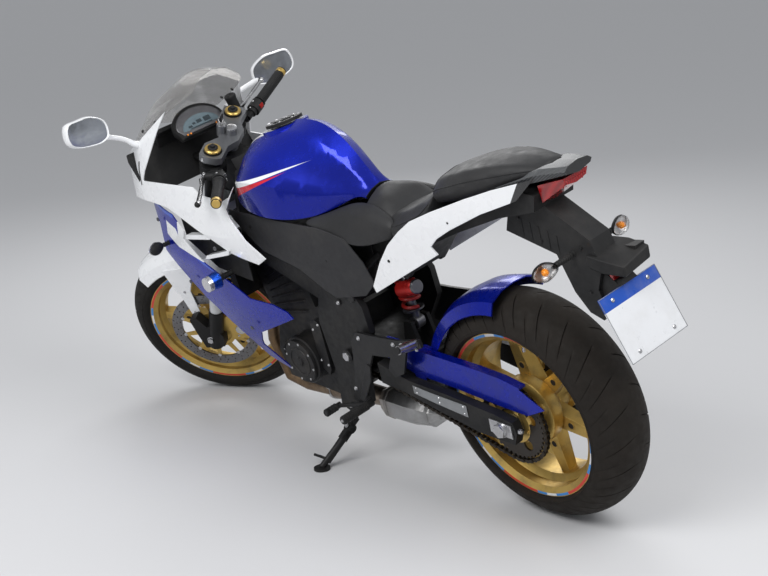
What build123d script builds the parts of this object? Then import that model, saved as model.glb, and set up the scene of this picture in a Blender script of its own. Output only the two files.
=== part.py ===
from build123d import *
import math
import os

os.makedirs("parts", exist_ok=True)

# Sport motorcycle, built upright and then leaned on its side stand.
# Upright frame: x forward from the rear axle, y to the rider's left, z up from the floor. Millimetres.

# Driving dimensions
WHEELBASE = 1437.0
RAKE = 25.0
TRAIL = 98.0
REAR_R = 315.0
REAR_HALF_W = 95.0
REAR_CROWN_R = 97.0
FRONT_R = 300.0
FRONT_HALF_W = 60.0
FRONT_CROWN_R = 62.0
RIM_R = 231.0
BEAD_R = 216.0
REAR_RIM_HALF = 80.0
FRONT_RIM_HALF = 50.0
FIT = 0.06
SEAT = 0.4

# Parked pose: lean to the left on the stand, bars at the left stop
LEAN = 12.0
STEER_REST = 35.0
PITCH = 0.34877
LIFT = (-1.917, -65.491, 2.125)
# World origin: floor point under the middle of the parked machine
SHIFT = (-640.0, -140.0, 0.0)

# Steering geometry
FORK_LEAD = 28.7
LEG_Y = 102.0
STEM_R = 20.0
REAR_AXLE_R = 14.0
FRONT_AXLE_R = 12.5

rake_sin = math.sin(math.radians(RAKE))
rake_cos = math.cos(math.radians(RAKE))
rake_tan = math.tan(math.radians(RAKE))
STEER_FOOT_X = WHEELBASE + TRAIL
STEER_DIR = (-rake_sin, 0, rake_cos)
STEER_AXIS = Axis((STEER_FOOT_X, 0, 0), STEER_DIR)
REAR_AXLE = (0.0, 0.0, REAR_R)
FRONT_AXLE = (WHEELBASE, 0.0, FRONT_R)


def steer_x(z):
    """x of the steering axis at height z."""
    return STEER_FOOT_X - z * rake_tan


def leg_x(z):
    """x of a fork leg's centre line at height z."""
    return steer_x(z) + FORK_LEAD


# Shape helpers
def prism(points, y0, y1):
    """Side-view polygon (x, z) from y0 to y1."""
    wire = Wire.make_polygon([(x, y0, z) for x, z in points], close=True)
    return Solid.extrude(Face(wire), Vector(0, y1 - y0, 0))


def prism_x(points, x0, x1):
    """Front-view polygon (y, z) from x0 to x1."""
    wire = Wire.make_polygon([(x0, y, z) for y, z in points], close=True)
    return Solid.extrude(Face(wire), Vector(x1 - x0, 0, 0))


def both(shape):
    """A left-hand shape and its right-hand twin."""
    return [shape, shape.mirror(Plane.XZ)]


def rod(start, end, radius, end_radius=None):
    """Round bar between two points."""
    a = Vector(*start)
    b = Vector(*end)
    plane = Plane(origin=a, z_dir=(b - a))
    if end_radius is None:
        return Solid.make_cylinder(radius, (b - a).length, plane)
    return Solid.make_cone(radius, end_radius, (b - a).length, plane)


def ball(centre, radius):
    """Round joint between two bars."""
    return Solid.make_sphere(radius, Plane(origin=centre), -90, 90, 360)


def tube_path(points, radius):
    """Bent round bar through the points."""
    bars = [rod(a, b, radius) for a, b in zip(points[:-1], points[1:])]
    knees = [ball(p, radius) for p in points[1:-1]]
    return fuse(bars + knees)


def fuse(shapes):
    """One body from touching shapes."""
    first = shapes[0]
    rest = shapes[1:]
    if not rest:
        return first
    return first.fuse(*rest)


def spin(profile, centre, angle=360.0, start=0.0):
    """Section (radius, y) turned about the wheel axis at centre."""
    wire = Wire.make_polygon([(r, y, 0) for r, y in profile], close=True)
    body = Solid.revolve(Face(wire), angle, Axis((0, 0, 0), (0, -1, 0)))
    return body.rotate(Axis((0, 0, 0), (0, -1, 0)), start).translate(Vector(*centre))


def loft_sections(sections, ruled=False):
    """Solid through closed point loops."""
    return Solid.make_loft([Wire.make_polygon(loop, close=True) for loop in sections], ruled)


def common(shape, other):
    """The overlap of two shapes."""
    solids = shape.intersect(other).solids()
    return solids[0] if len(solids) == 1 else Compound(children=list(solids))


def mirror_loop(half):
    """Full section from its left half, listed from the top centre to the bottom centre."""
    return half + [(x, -y, z) for x, y, z in reversed(half) if abs(y) > 1e-6]


def strip(outer, inward, thickness):
    """Thin section: outer points and the same points moved inward."""
    vx, vy, vz = inward
    k = thickness / math.sqrt(vx * vx + vy * vy + vz * vz)
    return outer + [(x + vx * k, y + vy * k, z + vz * k) for x, y, z in reversed(outer)]


def largest(shape):
    """The biggest solid left after a cut."""
    return max(shape.solids(), key=lambda piece: piece.volume)


def parked(shape, steered=False):
    """Upright shape to the parked world pose."""
    if steered:
        shape = shape.rotate(STEER_AXIS, STEER_REST)
    shape = shape.rotate(Axis((0, 0, 0), (0, 1, 0)), PITCH)
    shape = shape.rotate(Axis((0, 0, 0), (1, 0, 0)), -LEAN)
    return shape.translate(Vector(*LIFT)).translate(Vector(*SHIFT))


def save(name, shapes, steered=False):
    """Write one node."""
    if not isinstance(shapes, list):
        shapes = [shapes]
    solids = []
    for shape in shapes:
        solids.extend(parked(shape, steered).solids())
    export_step(Compound(children=solids) if len(solids) > 1 else solids[0], "parts/" + name + ".step")


# Wheels
def tyre(radius, crown, half, rim_half, centre):
    """Round-crowned tyre on its bead seats."""
    crown_c = radius - crown
    shoulder_r = crown_c + math.sqrt(crown * crown - half * half)
    bead = rim_half - 6.5
    arc = ThreePointArc((shoulder_r, -half, 0), (radius, 0, 0), (shoulder_r, half, 0))
    tail = Polyline((shoulder_r, half, 0), (RIM_R + 2, rim_half, 0), (RIM_R + 1.5, bead, 0), (BEAD_R + 1, bead, 0),
                    (BEAD_R + 1, -bead, 0), (RIM_R + 1.5, -bead, 0), (RIM_R + 2, -rim_half, 0),
                    (shoulder_r, -half, 0))
    face = Face(Wire([arc.edge()] + tail.edges()))
    return Solid.revolve(face, 360, Axis((0, 0, 0), (0, 1, 0))).translate(Vector(*centre))


# Y spokes of a wheel: three roots, each with two arms
SPOKE_ROOTS = (225.0, 105.0, 345.0)
ARM_SPREAD = 30.0


def spoke(root_deg, rim_deg, centre, root_w, rim_w, root_t, rim_t, rim_r):
    """One tapered arm from the hub to the rim."""
    r0 = 30.0
    a = math.radians(root_deg)
    b = math.radians(rim_deg)
    p = (r0 * math.cos(a), r0 * math.sin(a))
    q = (rim_r * math.cos(b), rim_r * math.sin(b))
    d = math.hypot(q[0] - p[0], q[1] - p[1])
    nx = -(q[1] - p[1]) / d
    nz = (q[0] - p[0]) / d
    loops = []
    for (x, z), w, t in ((p, root_w, root_t), (q, rim_w, rim_t)):
        loops.append([(x + nx * w, -t, z + nz * w), (x + nx * w, t, z + nz * w),
                      (x - nx * w, t, z - nz * w), (x - nx * w, -t, z - nz * w)])
    return loft_sections(loops, True).translate(Vector(*centre))


def rim(half, well_half, centre, hub_profile, root_t):
    """Rim barrel, Y spokes and hub in one casting."""
    seat = half - 6.0
    barrel = spin([(RIM_R, -half), (RIM_R, -seat), (BEAD_R, -seat), (BEAD_R, -well_half), (200, -well_half + 12),
                   (200, well_half - 12), (BEAD_R, well_half), (BEAD_R, seat), (RIM_R, seat), (RIM_R, half),
                   (222, half), (208, half - 10), (207, well_half), (192, well_half - 14),
                   (192, -well_half + 14), (207, -well_half), (208, -half + 10), (222, -half)], centre)
    arms = []
    for root in SPOKE_ROOTS:
        for side in (-1, 1):
            arms.append(spoke(root + side * 10, root + side * ARM_SPREAD, centre, 24, 14, root_t, 15, 196))
    hub = spin(hub_profile, centre)
    return fuse([barrel] + arms + [hub])


SPROCKET_Y = 108.0
SPROCKET_TEETH = 42
SPROCKET_TIP_R = 104.0
SPROCKET_ROOT_R = 98.0
CARRIER_Y = 104.8
rear_bore = REAR_AXLE_R + FIT
front_bore = FRONT_AXLE_R + FIT

save("rear_tyre", tyre(REAR_R, REAR_CROWN_R, REAR_HALF_W, REAR_RIM_HALF, REAR_AXLE))
rear_rim = rim(REAR_RIM_HALF, 45.0, REAR_AXLE,
               [(rear_bore, -72), (30, -72), (30, -74 + SEAT), (56, -74 + SEAT), (56, -64), (44, -56), (44, -20), (88, 20), (92, 26), (92, 58), (84, 64), (64, 68),
                (64, CARRIER_Y), (rear_bore, CARRIER_Y)], 24)
save("rear_rim", rear_rim)

teeth = []
for i in range(SPROCKET_TEETH):
    for step, r in ((-0.36, SPROCKET_ROOT_R), (-0.14, SPROCKET_TIP_R), (0.14, SPROCKET_TIP_R), (0.36, SPROCKET_ROOT_R)):
        a = 2 * math.pi * (i + step) / SPROCKET_TEETH
        teeth.append((r * math.cos(a), r * math.sin(a) + REAR_R))
sprocket = prism(teeth, SPROCKET_Y - 3, SPROCKET_Y + 3)
sprocket = sprocket.cut(Solid.make_cylinder(38, 20, Plane(origin=(0, SPROCKET_Y + 10, REAR_R), z_dir=(0, -1, 0))))
windows = []
for i in range(5):
    a = math.radians(20 + 72 * i)
    windows.append(Solid.make_cylinder(15, 20, Plane(
        origin=(70 * math.cos(a), SPROCKET_Y + 10, REAR_R + 70 * math.sin(a)), z_dir=(0, -1, 0))))
sprocket = sprocket.cut(*windows)
save("rear_sprocket", sprocket)


def disc(r_out, r_in, y0, y1, centre, bells):
    """Brake disc ring with its bell arms."""
    ring = spin([(r_in, y0), (r_out, y0), (r_out, y1), (r_in, y1)], centre)
    hub_r, arm_n = bells
    inner = spin([(hub_r - 14, y0), (hub_r, y0), (hub_r, y1), (hub_r - 14, y1)], centre)
    arms = []
    for i in range(arm_n):
        a = 360.0 * i / arm_n
        bar = Solid.make_box(r_in - hub_r + 10, y1 - y0, 12, Plane(origin=(hub_r - 5, y0, -6)))
        arms.append(bar.rotate(Axis((0, 0, 0), (0, 1, 0)), a).translate(Vector(*centre)))
    return fuse([ring, inner] + arms)


save("rear_brake_disc", disc(120, 92, -79, -74, REAR_AXLE, (58, 6)))

save("front_tyre", tyre(FRONT_R, FRONT_CROWN_R, FRONT_HALF_W, FRONT_RIM_HALF, FRONT_AXLE), True)
save("front_rim", rim(FRONT_RIM_HALF, 28.0, FRONT_AXLE,
                      [(front_bore, -69), (50, -69), (50, SEAT - 70), (62, SEAT - 70), (62, -62), (46, -56), (46, 56),
                       (62, 62), (62, 70 - SEAT), (50, 70 - SEAT), (50, 69), (front_bore, 69)], 20), True)
save("front_brake_discs", [disc(148, 114, y, y + 5, FRONT_AXLE, (70, 10)) for y in (-75.0, 70.0)], True)

# Fork: dark upper tubes and axle feet, bright lower tubes
OUTER_R = 27.0
INNER_R = 20.5
CAP_Z = 972.0
OUTER_END_Z = 640.0
FOOT_TOP_Z = 400.0
FOOT_END_Z = 262.0
legs = []
tubes = []
for y in (LEG_Y, -LEG_Y):
    upper = rod((leg_x(OUTER_END_Z), y, OUTER_END_Z), (leg_x(CAP_Z), y, CAP_Z), OUTER_R)
    collar = rod((leg_x(OUTER_END_Z - 8), y, OUTER_END_Z - 8), (leg_x(OUTER_END_Z + 22), y, OUTER_END_Z + 22), 30)
    cap = rod((leg_x(CAP_Z - 2), y, CAP_Z - 2), (leg_x(CAP_Z + 12), y, CAP_Z + 12), 15)
    bright_top = (leg_x(OUTER_END_Z - 8.1), y, OUTER_END_Z - 8.1)
    bright_end = (leg_x(FOOT_TOP_Z + 0.2), y, FOOT_TOP_Z + 0.2)
    legs.append(fuse([upper, collar, cap]))
    tubes.append(rod(bright_end, bright_top, INNER_R))
    s = 1 if y > 0 else -1
    foot = rod((leg_x(FOOT_END_Z), y, FOOT_END_Z), (leg_x(FOOT_TOP_Z), y, FOOT_TOP_Z), 24)
    lug = prism([(1404, 262), (1470, 268), (1474, 320), (1476, 388), (1450, 394), (1430, 350), (1404, 350), (1392, 300)],
                min(s * 84, s * 120), max(s * 84, s * 120))
    spacer = spin([(FRONT_AXLE_R - 1, s * 70.5), (19, s * 70.5), (19, s * 86), (FRONT_AXLE_R - 1, s * 86)], FRONT_AXLE)
    legs.append([foot, lug, spacer])
axle = rod((WHEELBASE, -124, FRONT_R), (WHEELBASE, 124, FRONT_R), FRONT_AXLE_R)
AXLE_BORE_F = 8.0
AXLE_BORE_R = 9.0
lower = fuse([axle] + legs[1] + legs[3]).cut(rod((WHEELBASE, -140, FRONT_R), (WHEELBASE, 140, FRONT_R), AXLE_BORE_F))
save("fork_legs", [legs[0], legs[2], lower], True)
save("fork_tubes", tubes, True)

# Clamps and stem, around the upper tubes with a thin gap
TOP_Z = 950.0
LOW_Z = 752.0
CLAMP_OUTLINE = (
    # forward of the stem, left of the stem
    (-30.0, 28.0), (-9.0, 66.0), (-9.0, 128.0), (6.0, 138.0), (44.0, 138.0), (60.0, 126.0), (60.0, 72.0), (30.0, 32.0))


def clamp_plate(z, thick):
    """Waisted plate square to the stem."""
    origin = Vector(steer_x(z), 0, z)
    fwd = Vector(rake_cos, 0, rake_sin)
    up = Vector(*STEER_DIR)
    half = list(CLAMP_OUTLINE)
    outline = half + [(u, -v) for u, v in reversed(half)]
    base = [origin + fwd * u + Vector(0, v, 0) - up * (thick / 2) for u, v in outline]
    return Solid.extrude(Face(Wire.make_polygon(base, close=True)), up * thick)


stem = rod((steer_x(LOW_Z - 12), 0, LOW_Z - 12), (steer_x(TOP_Z + 10), 0, TOP_Z + 10), STEM_R)
nut = rod((steer_x(TOP_Z + 8), 0, TOP_Z + 8), (steer_x(TOP_Z + 26), 0, TOP_Z + 26), 17)
LOCK_AHEAD = 30.0
lock_base = Vector(steer_x(TOP_Z) + LOCK_AHEAD * rake_cos, 0, TOP_Z + LOCK_AHEAD * rake_sin)
lock = rod(lock_base, lock_base + Vector(*STEER_DIR) * 36, 15)
plates = []
for z, thick in ((TOP_Z, 22.0), (LOW_Z, 36.0)):
    sleeves = [rod((leg_x(z - 60), y, z - 60), (leg_x(z + 60), y, z + 60), OUTER_R + 0.5) for y in (LEG_Y, -LEG_Y)]
    plates.append(clamp_plate(z, thick).cut(*sleeves))
clamp_body = fuse(plates + [stem, nut, lock])
save("fork_clamps", clamp_body, True)

# Clip-on bars
BAR_ROOT = (1096.0, 142.0, 921.0)
BAR_TIP = (1032.0, 338.0, 945.0)
GRIP_ROOT_K = 0.36
bar_dir = Vector(*BAR_TIP) - Vector(*BAR_ROOT)


def on_bar(k, dx=0.0, dz=0.0):
    """Point at fraction k along the left bar."""
    p = Vector(*BAR_ROOT) + bar_dir * k
    return (p.X + dx, p.Y, p.Z + dz)


bar_z = BAR_ROOT[2]
ring_bar = rod((leg_x(bar_z - 14), LEG_Y, bar_z - 14), (leg_x(bar_z + 14), LEG_Y, bar_z + 14), 40)
ring_bar = fuse([ring_bar, rod((leg_x(bar_z), LEG_Y + 30, bar_z), on_bar(0.01), 13), rod(on_bar(0.0), on_bar(1.0), 10.5),
                 rod(on_bar(0.985), on_bar(1.07), 15)])
ring_bar = ring_bar.cut(rod((leg_x(860), LEG_Y, 860), (leg_x(980), LEG_Y, 980), OUTER_R + 0.5))
save("handlebars", both(ring_bar), True)
grip = rod(on_bar(GRIP_ROOT_K), on_bar(0.98), 16.5).cut(rod(on_bar(0.0), on_bar(1.2), 10.6))
save("grips", both(grip), True)

# Switch housings, lever perches, levers and the brake reservoir
housing = rod(on_bar(0.17), on_bar(0.33), 21)
perch = rod(on_bar(0.12, 8, 0), on_bar(0.12, 52, 6), 11)
lever = tube_path([on_bar(0.12, 52, 6), on_bar(0.42, 56, 2), on_bar(0.95, 62, -2)], 5.5)
lever_end = ball(on_bar(0.95, 62, -2), 9)
control = fuse([housing, rod(on_bar(0.11), on_bar(0.18), 15.5), perch, lever, lever_end])
control = control.cut(rod(on_bar(0.0), on_bar(1.2), 10.6))
controls = both(control)
reservoir = rod(on_bar(0.16, 50, 22), on_bar(0.16, 50, 68), 17)
arm = rod(on_bar(0.12, 40, 4), on_bar(0.16, 50, 28), 7)
controls[1] = fuse([controls[1], reservoir.mirror(Plane.XZ), arm.mirror(Plane.XZ)])
save("hand_controls", controls, True)

# Front mudguard and its arms
guard_out = [(262, 78), (296, 70), (316, 36), (320, 0), (316, -36), (296, -70), (262, -78)]
guard_in = [(r - 3.0, y * (abs(y) - 3.0) / abs(y) if y else 0.0) for r, y in reversed(guard_out)]
guard = spin(guard_out + guard_in, FRONT_AXLE, 92.0, 56.0)
arm_top = prism([(1392, 566), (1500, 572), (1488, 480), (1476, 464), (1450, 464), (1436, 486)], 73.5, 84 - SEAT)
arm_low = prism([(1440, 490), (1484, 490), (1478, 388), (1466, 376), (1452, 380), (1448, 392)], 80.5, 84 - SEAT)
save("front_mudguard", fuse([guard] + both(arm_top) + both(arm_low)), True)

# Front calipers, straddling the discs behind the fork feet
caliper = prism([(1282, 300), (1306, 392), (1344, 388), (1372, 330), (1376, 270), (1300, 260)], 56, 94)
caliper = fuse([caliper, prism([(1272, 296), (1296, 398), (1308, 396), (1286, 296)], 56, 94)])
caliper = caliper.cut(spin([(0, 65), (153, 65), (153, 80), (0, 80)], FRONT_AXLE))
caliper = fuse([caliper, prism([(1340, 296), (1340, 366), (1408, 352), (1408, 306)], 82, 94)]).cut(lower)
save("front_calipers", both(caliper), True)

# Frame: head, spars and pivot plates
HEAD_LOW = 790.0
HEAD_TOP = 912.0
head = rod((steer_x(HEAD_LOW), 0, HEAD_LOW), (steer_x(HEAD_TOP), 0, HEAD_TOP), 36)
neck = prism([(1146, 830), (1108, 902), (1060, 896), (1008, 800), (1016, 742), (1130, 800)], -44, 44)
PLATE_IN = 119.0
PLATE_OUT = 138.0
PIVOT = (585.0, 0.0, 392.0)
spar = loft_sections([
    [(1040, 30, 866), (1040, 54, 866), (1085, 54, 770), (1085, 30, 770)],
    [(960, 102, 774), (960, 126, 774), (1000, 126, 650), (1000, 102, 650)],
    [(760, 112, 762), (760, 137, 762), (800, 137, 600), (800, 112, 600)],
    [(560, PLATE_IN, 680), (560, PLATE_OUT, 680), (620, PLATE_OUT, 540), (620, PLATE_IN, 540)]], True)
plate = prism([(650, 590), (532, 640), (470, 560), (463, 481), (520, 400), (545, 244), (636, 184), (690, 205),
               (672, 309), (690, 480)], PLATE_IN, PLATE_OUT)
pivot = rod((PIVOT[0], -PLATE_OUT - 6, PIVOT[2]), (PIVOT[0], PLATE_OUT + 6, PIVOT[2]), 15)
cross = rod((505, -PLATE_IN - 2, 585), (505, PLATE_IN + 2, 585), 20)
cross_low = rod((600, -PLATE_IN - 2, 300), (600, PLATE_IN + 2, 300), 14)
frame_body = fuse([head, neck] + both(spar) + both(plate) + [pivot, cross, cross_low])
frame_body = frame_body.cut(rod((steer_x(700), 0, 700), (steer_x(1000), 0, 1000), STEM_R + FIT))

# Engine block with its round side covers
engine = fuse([
    prism([(640, 250), (700, 205), (980, 215), (1005, 300), (965, 400), (960, 430), (720, 500), (650, 474),
           (650, 380)], -98, 98),
    prism([(740, 440), (955, 380), (1015, 575), (930, 720), (800, 700)], -98, 98)])
FRONT_SPROCKET = (668.0, 400.0)
CHAIN_R_REAR = 111.5
CHAIN_R_FRONT = 42.0
CHAIN_HALF = 5.6
output = rod((FRONT_SPROCKET[0], 96, FRONT_SPROCKET[1]), (FRONT_SPROCKET[0], 115, FRONT_SPROCKET[1]),
             CHAIN_R_FRONT - CHAIN_HALF - 0.8)
left_covers = [output, rod((812, 98, 330), (812, 160, 330), 74, 66), rod((905, 98, 312), (905, 122, 312), 44, 40),
               prism([(744, 462), (744, 318), (726, 318), (726, 462)], 96, 122),
               prism([(744, 462), (744, 318), (712, 296), (698, 320), (698, 460), (716, 474)], 120, 136)]
right_covers = [rod((790, -98, 330), (790, -160, 330), 86, 78), rod((905, -98, 312), (905, -122, 312), 44, 40)]
engine = fuse([engine] + left_covers + right_covers)
save("engine", engine)
rad_lugs = [rod((1036, y, 676), (1004, y, 690), 8) for y in (-114, 114)]
radiator = fuse([prism([(1024, 500), (1056, 504), (1072, 690), (1040, 696)], -160, 160)] + rad_lugs)
save("radiator", largest(radiator.cut(frame_body)))

# Exhaust: four headers, collector and the silencer under the engine
headers = []
for y in (-72.0, -26.0, 26.0, 72.0):
    headers.append(tube_path([(958, y, 452), (1030, y, 420), (1070, y * 0.95, 310), (1050, y * 0.8, 178),
                              (985, y * 0.6, 152), (880, y * 0.35 + 8, 152)], 18))
collector = rod((890, 8, 152), (630, 0, 165), 40, 26)
save("exhaust_pipe", largest(fuse(headers + [collector]).cut(engine)))
SILENCER = (
    # x, right y, left y, low z, high z, corner
    (636.0, -88.0, 46.0, 138.0, 204.0, 18.0),
    (600.0, -96.0, 62.0, 130.0, 224.0, 22.0),
    (540.0, -98.0, 62.0, 130.0, 226.0, 24.0),
    (500.0, -150.0, 62.0, 132.0, 226.0, 24.0),
    (420.0, -146.0, 50.0, 140.0, 220.0, 24.0),
    (396.0, -120.0, 30.0, 156.0, 206.0, 16.0),
)
can_loops = []
for x, yr, yl, zl, zh, c in SILENCER:
    can_loops.append([(x, yr, zl + c), (x, yr + c, zl), (x, yl - c, zl), (x, yl, zl + c), (x, yl, zh - c),
                      (x, yl - c, zh), (x, yr + c, zh), (x, yr, zh - c)])
silencer = loft_sections(can_loops, True)
outlet = rod((440, -108, 190), (372, -150, 212), 26)
save("silencer", fuse([silencer, outlet]).cut(collector))

# Swingarm with the rear axle, adjusters and caliper
ARM_IN = 123.0
ARM_OUT = 149.0
arm_side = [(450, 402), (330, 374), (185, 367), (20, 352), (-40, 342), (-50, 312), (-36, 278), (90, 281), (231, 306),
            (369, 334), (450, 340)]
arm_left = prism(arm_side, ARM_IN, ARM_OUT)
brace = prism([(450, 402), (340, 376), (340, 336), (369, 334), (450, 340)], -ARM_OUT, ARM_OUT)
core_arm = prism([(620, 424), (560, 426), (440, 408), (350, 392), (350, 350), (440, 338), (600, 352)], -98, 98)
beam = fuse([brace, core_arm]).cut(prism([(360, 300), (462, 300), (462, 480), (360, 480)], -24, 24))
ARM_SEAT = ARM_IN - SEAT
axle_rear = rod((0, -160, REAR_R), (0, 164, REAR_R), REAR_AXLE_R)
nut_left = rod((0, ARM_OUT + SEAT, REAR_R), (0, 160, REAR_R), 19)
boss = [spin([(REAR_AXLE_R - 1, 106.5), (22, 106.5), (22, ARM_SEAT), (REAR_AXLE_R - 1, ARM_SEAT)], REAR_AXLE),
        spin([(REAR_AXLE_R - 1, -ARM_SEAT), (24, -ARM_SEAT), (24, -73.5), (REAR_AXLE_R - 1, -73.5)], REAR_AXLE)]
save("rear_axle", fuse([axle_rear, nut_left] + boss).cut(rod((0, -180, REAR_R), (0, 180, REAR_R), AXLE_BORE_R)))
SHOCK_FOOT = (425.0, 0.0, 462.0)
shock_pin = rod((SHOCK_FOOT[0], -36, SHOCK_FOOT[2]), (SHOCK_FOOT[0], 36, SHOCK_FOOT[2]), 8)
shock_ear = prism([(392, 396), (458, 402), (440, 476), (412, 476)], 24.5, 36)
swing = fuse([arm_left, arm_left.mirror(Plane.XZ), beam, shock_pin] + both(shock_ear))
swing = swing.cut(rod((PIVOT[0], -160, PIVOT[2]), (PIVOT[0], 160, PIVOT[2]), 15.5))
swing = swing.cut(rod((0, -180, REAR_R), (0, 180, REAR_R), REAR_AXLE_R + SEAT))
save("swingarm", swing)
rear_caliper = prism([(40, 364), (112, 372), (132, 412), (96, 436), (40, 416)], -104, -58)
rear_caliper = rear_caliper.cut(spin([(0, -82), (123, -82), (123, -71), (0, -71)], REAR_AXLE))
save("rear_caliper", fuse([rear_caliper, prism([(40, 354.2), (112, 360.8), (112, 392), (40, 382)], -138, -100)]))

# Drive chain: a wavy loop of link plates round both sprockets
PITCH_LINK = 15.875
dx = FRONT_SPROCKET[0]
dz = FRONT_SPROCKET[1] - REAR_R
span = math.hypot(dx, dz)
tilt = math.atan2(dz, dx)
wrap = math.asin((CHAIN_R_REAR - CHAIN_R_FRONT) / span)
run = math.sqrt(span * span - (CHAIN_R_REAR - CHAIN_R_FRONT) ** 2)
rear_arc = CHAIN_R_REAR * (math.pi + 2 * wrap)
front_arc = CHAIN_R_FRONT * (math.pi - 2 * wrap)
links = int((2 * run + rear_arc + front_arc) / PITCH_LINK)
step_len = (2 * run + rear_arc + front_arc) / (2 * links)


def chain_point(s, off):
    """Point at length s along the loop, moved outward by off."""
    top_n = tilt + math.pi / 2 - wrap
    if s < run:
        k = s / run
        nx = math.cos(top_n)
        nz = math.sin(top_n)
        ax = (CHAIN_R_REAR + off) * nx
        az = REAR_R + (CHAIN_R_REAR + off) * nz
        bx = dx + (CHAIN_R_FRONT + off) * nx
        bz = FRONT_SPROCKET[1] + (CHAIN_R_FRONT + off) * nz
        return (ax + (bx - ax) * k, az + (bz - az) * k)
    s -= run
    if s < front_arc:
        a = top_n - s / CHAIN_R_FRONT
        return (dx + (CHAIN_R_FRONT + off) * math.cos(a), FRONT_SPROCKET[1] + (CHAIN_R_FRONT + off) * math.sin(a))
    s -= front_arc
    low_n = tilt - math.pi / 2 + wrap
    if s < run:
        k = 1 - s / run
        nx = math.cos(low_n)
        nz = math.sin(low_n)
        ax = (CHAIN_R_REAR + off) * nx
        az = REAR_R + (CHAIN_R_REAR + off) * nz
        bx = dx + (CHAIN_R_FRONT + off) * nx
        bz = FRONT_SPROCKET[1] + (CHAIN_R_FRONT + off) * nz
        return (ax + (bx - ax) * k, az + (bz - az) * k)
    s -= run
    a = low_n - s / CHAIN_R_REAR
    return ((CHAIN_R_REAR + off) * math.cos(a), REAR_R + (CHAIN_R_REAR + off) * math.sin(a))


outer_loop = []
inner_loop = []
for i in range(2 * links):
    half = CHAIN_HALF if i % 2 == 0 else CHAIN_HALF - 2.4
    outer_loop.append(chain_point(i * step_len, half))
    inner_loop.append(chain_point(i * step_len, -half))
chain = prism(outer_loop, SPROCKET_Y - 7, SPROCKET_Y + 7)
chain = chain.cut(prism(inner_loop, SPROCKET_Y - 9, SPROCKET_Y + 9))
save("drive_chain", chain)

# Rear shock with its reservoir
shock = fuse([rod((424, 0, 450), (466, 0, 772), 14), rod((430, 0, 505), (452, 0, 665), 31),
              rod((424, 0, 452), (429, 0, 498), 22), rod((455, 0, 690), (462, 0, 735), 24),
              rod((452, 0, 660), (374, 46, 618), 9)])
shock = shock.cut(rod((SHOCK_FOOT[0], -36, SHOCK_FOOT[2]), (SHOCK_FOOT[0], 36, SHOCK_FOOT[2]), 8 + SEAT))
reservoir_rear = rod((330, 46, 606), (420, 46, 578), 24)
shock = fuse([shock, reservoir_rear, rod((374, 46, 622), (374, 46, 596), 10)])

# Rear hugger and chain guard
hug_out = [(288, 96), (318, 84), (334, 46), (338, 0), (334, -46), (318, -84), (288, -96)]
hug_in = [(r - 3.0, y * (abs(y) - 3.0) / abs(y) if y else 0.0) for r, y in reversed(hug_out)]
hugger = spin(hug_out + hug_in, REAR_AXLE, 66.0, 22.0)
GUARD_TOP = [(440, 456), (262, 450), (99, 444), (0, 437), (-60, 425)]
guard_side = prism(GUARD_TOP + [(-133, 386), (-72, 356), (20, 360), (185, 374), (330, 381), (440, 408)], 118.5, 121)
guard_lip = prism(GUARD_TOP + [(-60, 431), (0, 443), (99, 450), (262, 456), (440, 462)], 97.5, 121)
guard_bridge = prism([(272, 446), (304, 446), (304, 460), (272, 458)], 88, 100)
guard_lug = prism([(290, 350), (330, 352), (330, 392), (290, 388)], 119, ARM_IN - SEAT)
save("rear_hugger", fuse([hugger, guard_side, guard_lip, guard_bridge, guard_lug]))

# Fuel tank
TANK = (
    # x, top z, crown y, crown z, shoulder y, shoulder z, flank y, flank z, low y, low z
    (985.0, 880.0, 36.0, 877.0, 62.0, 866.0, 88.0, 846.0, 86.0, 828.0),
    (930.0, 960.0, 46.0, 952.0, 86.0, 920.0, 128.0, 868.0, 134.0, 812.0),
    (800.0, 1016.0, 58.0, 1002.0, 116.0, 962.0, 174.0, 900.0, 166.0, 800.0),
    (670.0, 1030.0, 50.0, 1004.0, 98.0, 938.0, 142.0, 880.0, 148.0, 797.0),
    (590.0, 1010.0, 44.0, 978.0, 80.0, 910.0, 110.0, 862.0, 108.0, 806.0),
    (520.0, 958.0, 38.0, 928.0, 58.0, 884.0, 72.0, 856.0, 70.0, 832.0),
    (440.0, 870.0, 30.0, 864.0, 44.0, 858.0, 54.0, 852.0, 52.0, 844.0),
)
TANK_FLOOR = 6.0
tank_loops = []
for x, top, cy, cz, sy, sz, fy, fz, ly, lz in TANK:
    tank_loops.append(mirror_loop([(x, 0.0, top), (x, cy, cz), (x, sy, sz), (x, fy, fz), (x, ly, lz),
                                   (x, 0.0, lz - TANK_FLOOR)]))
tank = loft_sections(tank_loops)
CAP_X = 800.0
CAP_Z0 = 1014.0
CAP_RAD = 54.0
CAP_TILT = 12.0
CAP_CLEAR = 5.0
HINGE_U = 58.0
HINGE_W = 4.0
HINGE_R = 2.5
CAP_AXIS = Axis((CAP_X, 0, CAP_Z0), (0, 1, 0))


def cap_drum(radius, low, high):
    """Round plate on the cap's centre line, heights from the cap's seat."""
    return Solid.make_cylinder(radius, high - low, Plane(origin=(CAP_X, 0, CAP_Z0 + low)))


def hinge_bar(y0, y1, radius):
    """Bar along the cap's hinge line."""
    return rod((CAP_X + HINGE_U, y0, CAP_Z0 + HINGE_W), (CAP_X + HINGE_U, y1, CAP_Z0 + HINGE_W), radius)


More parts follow.
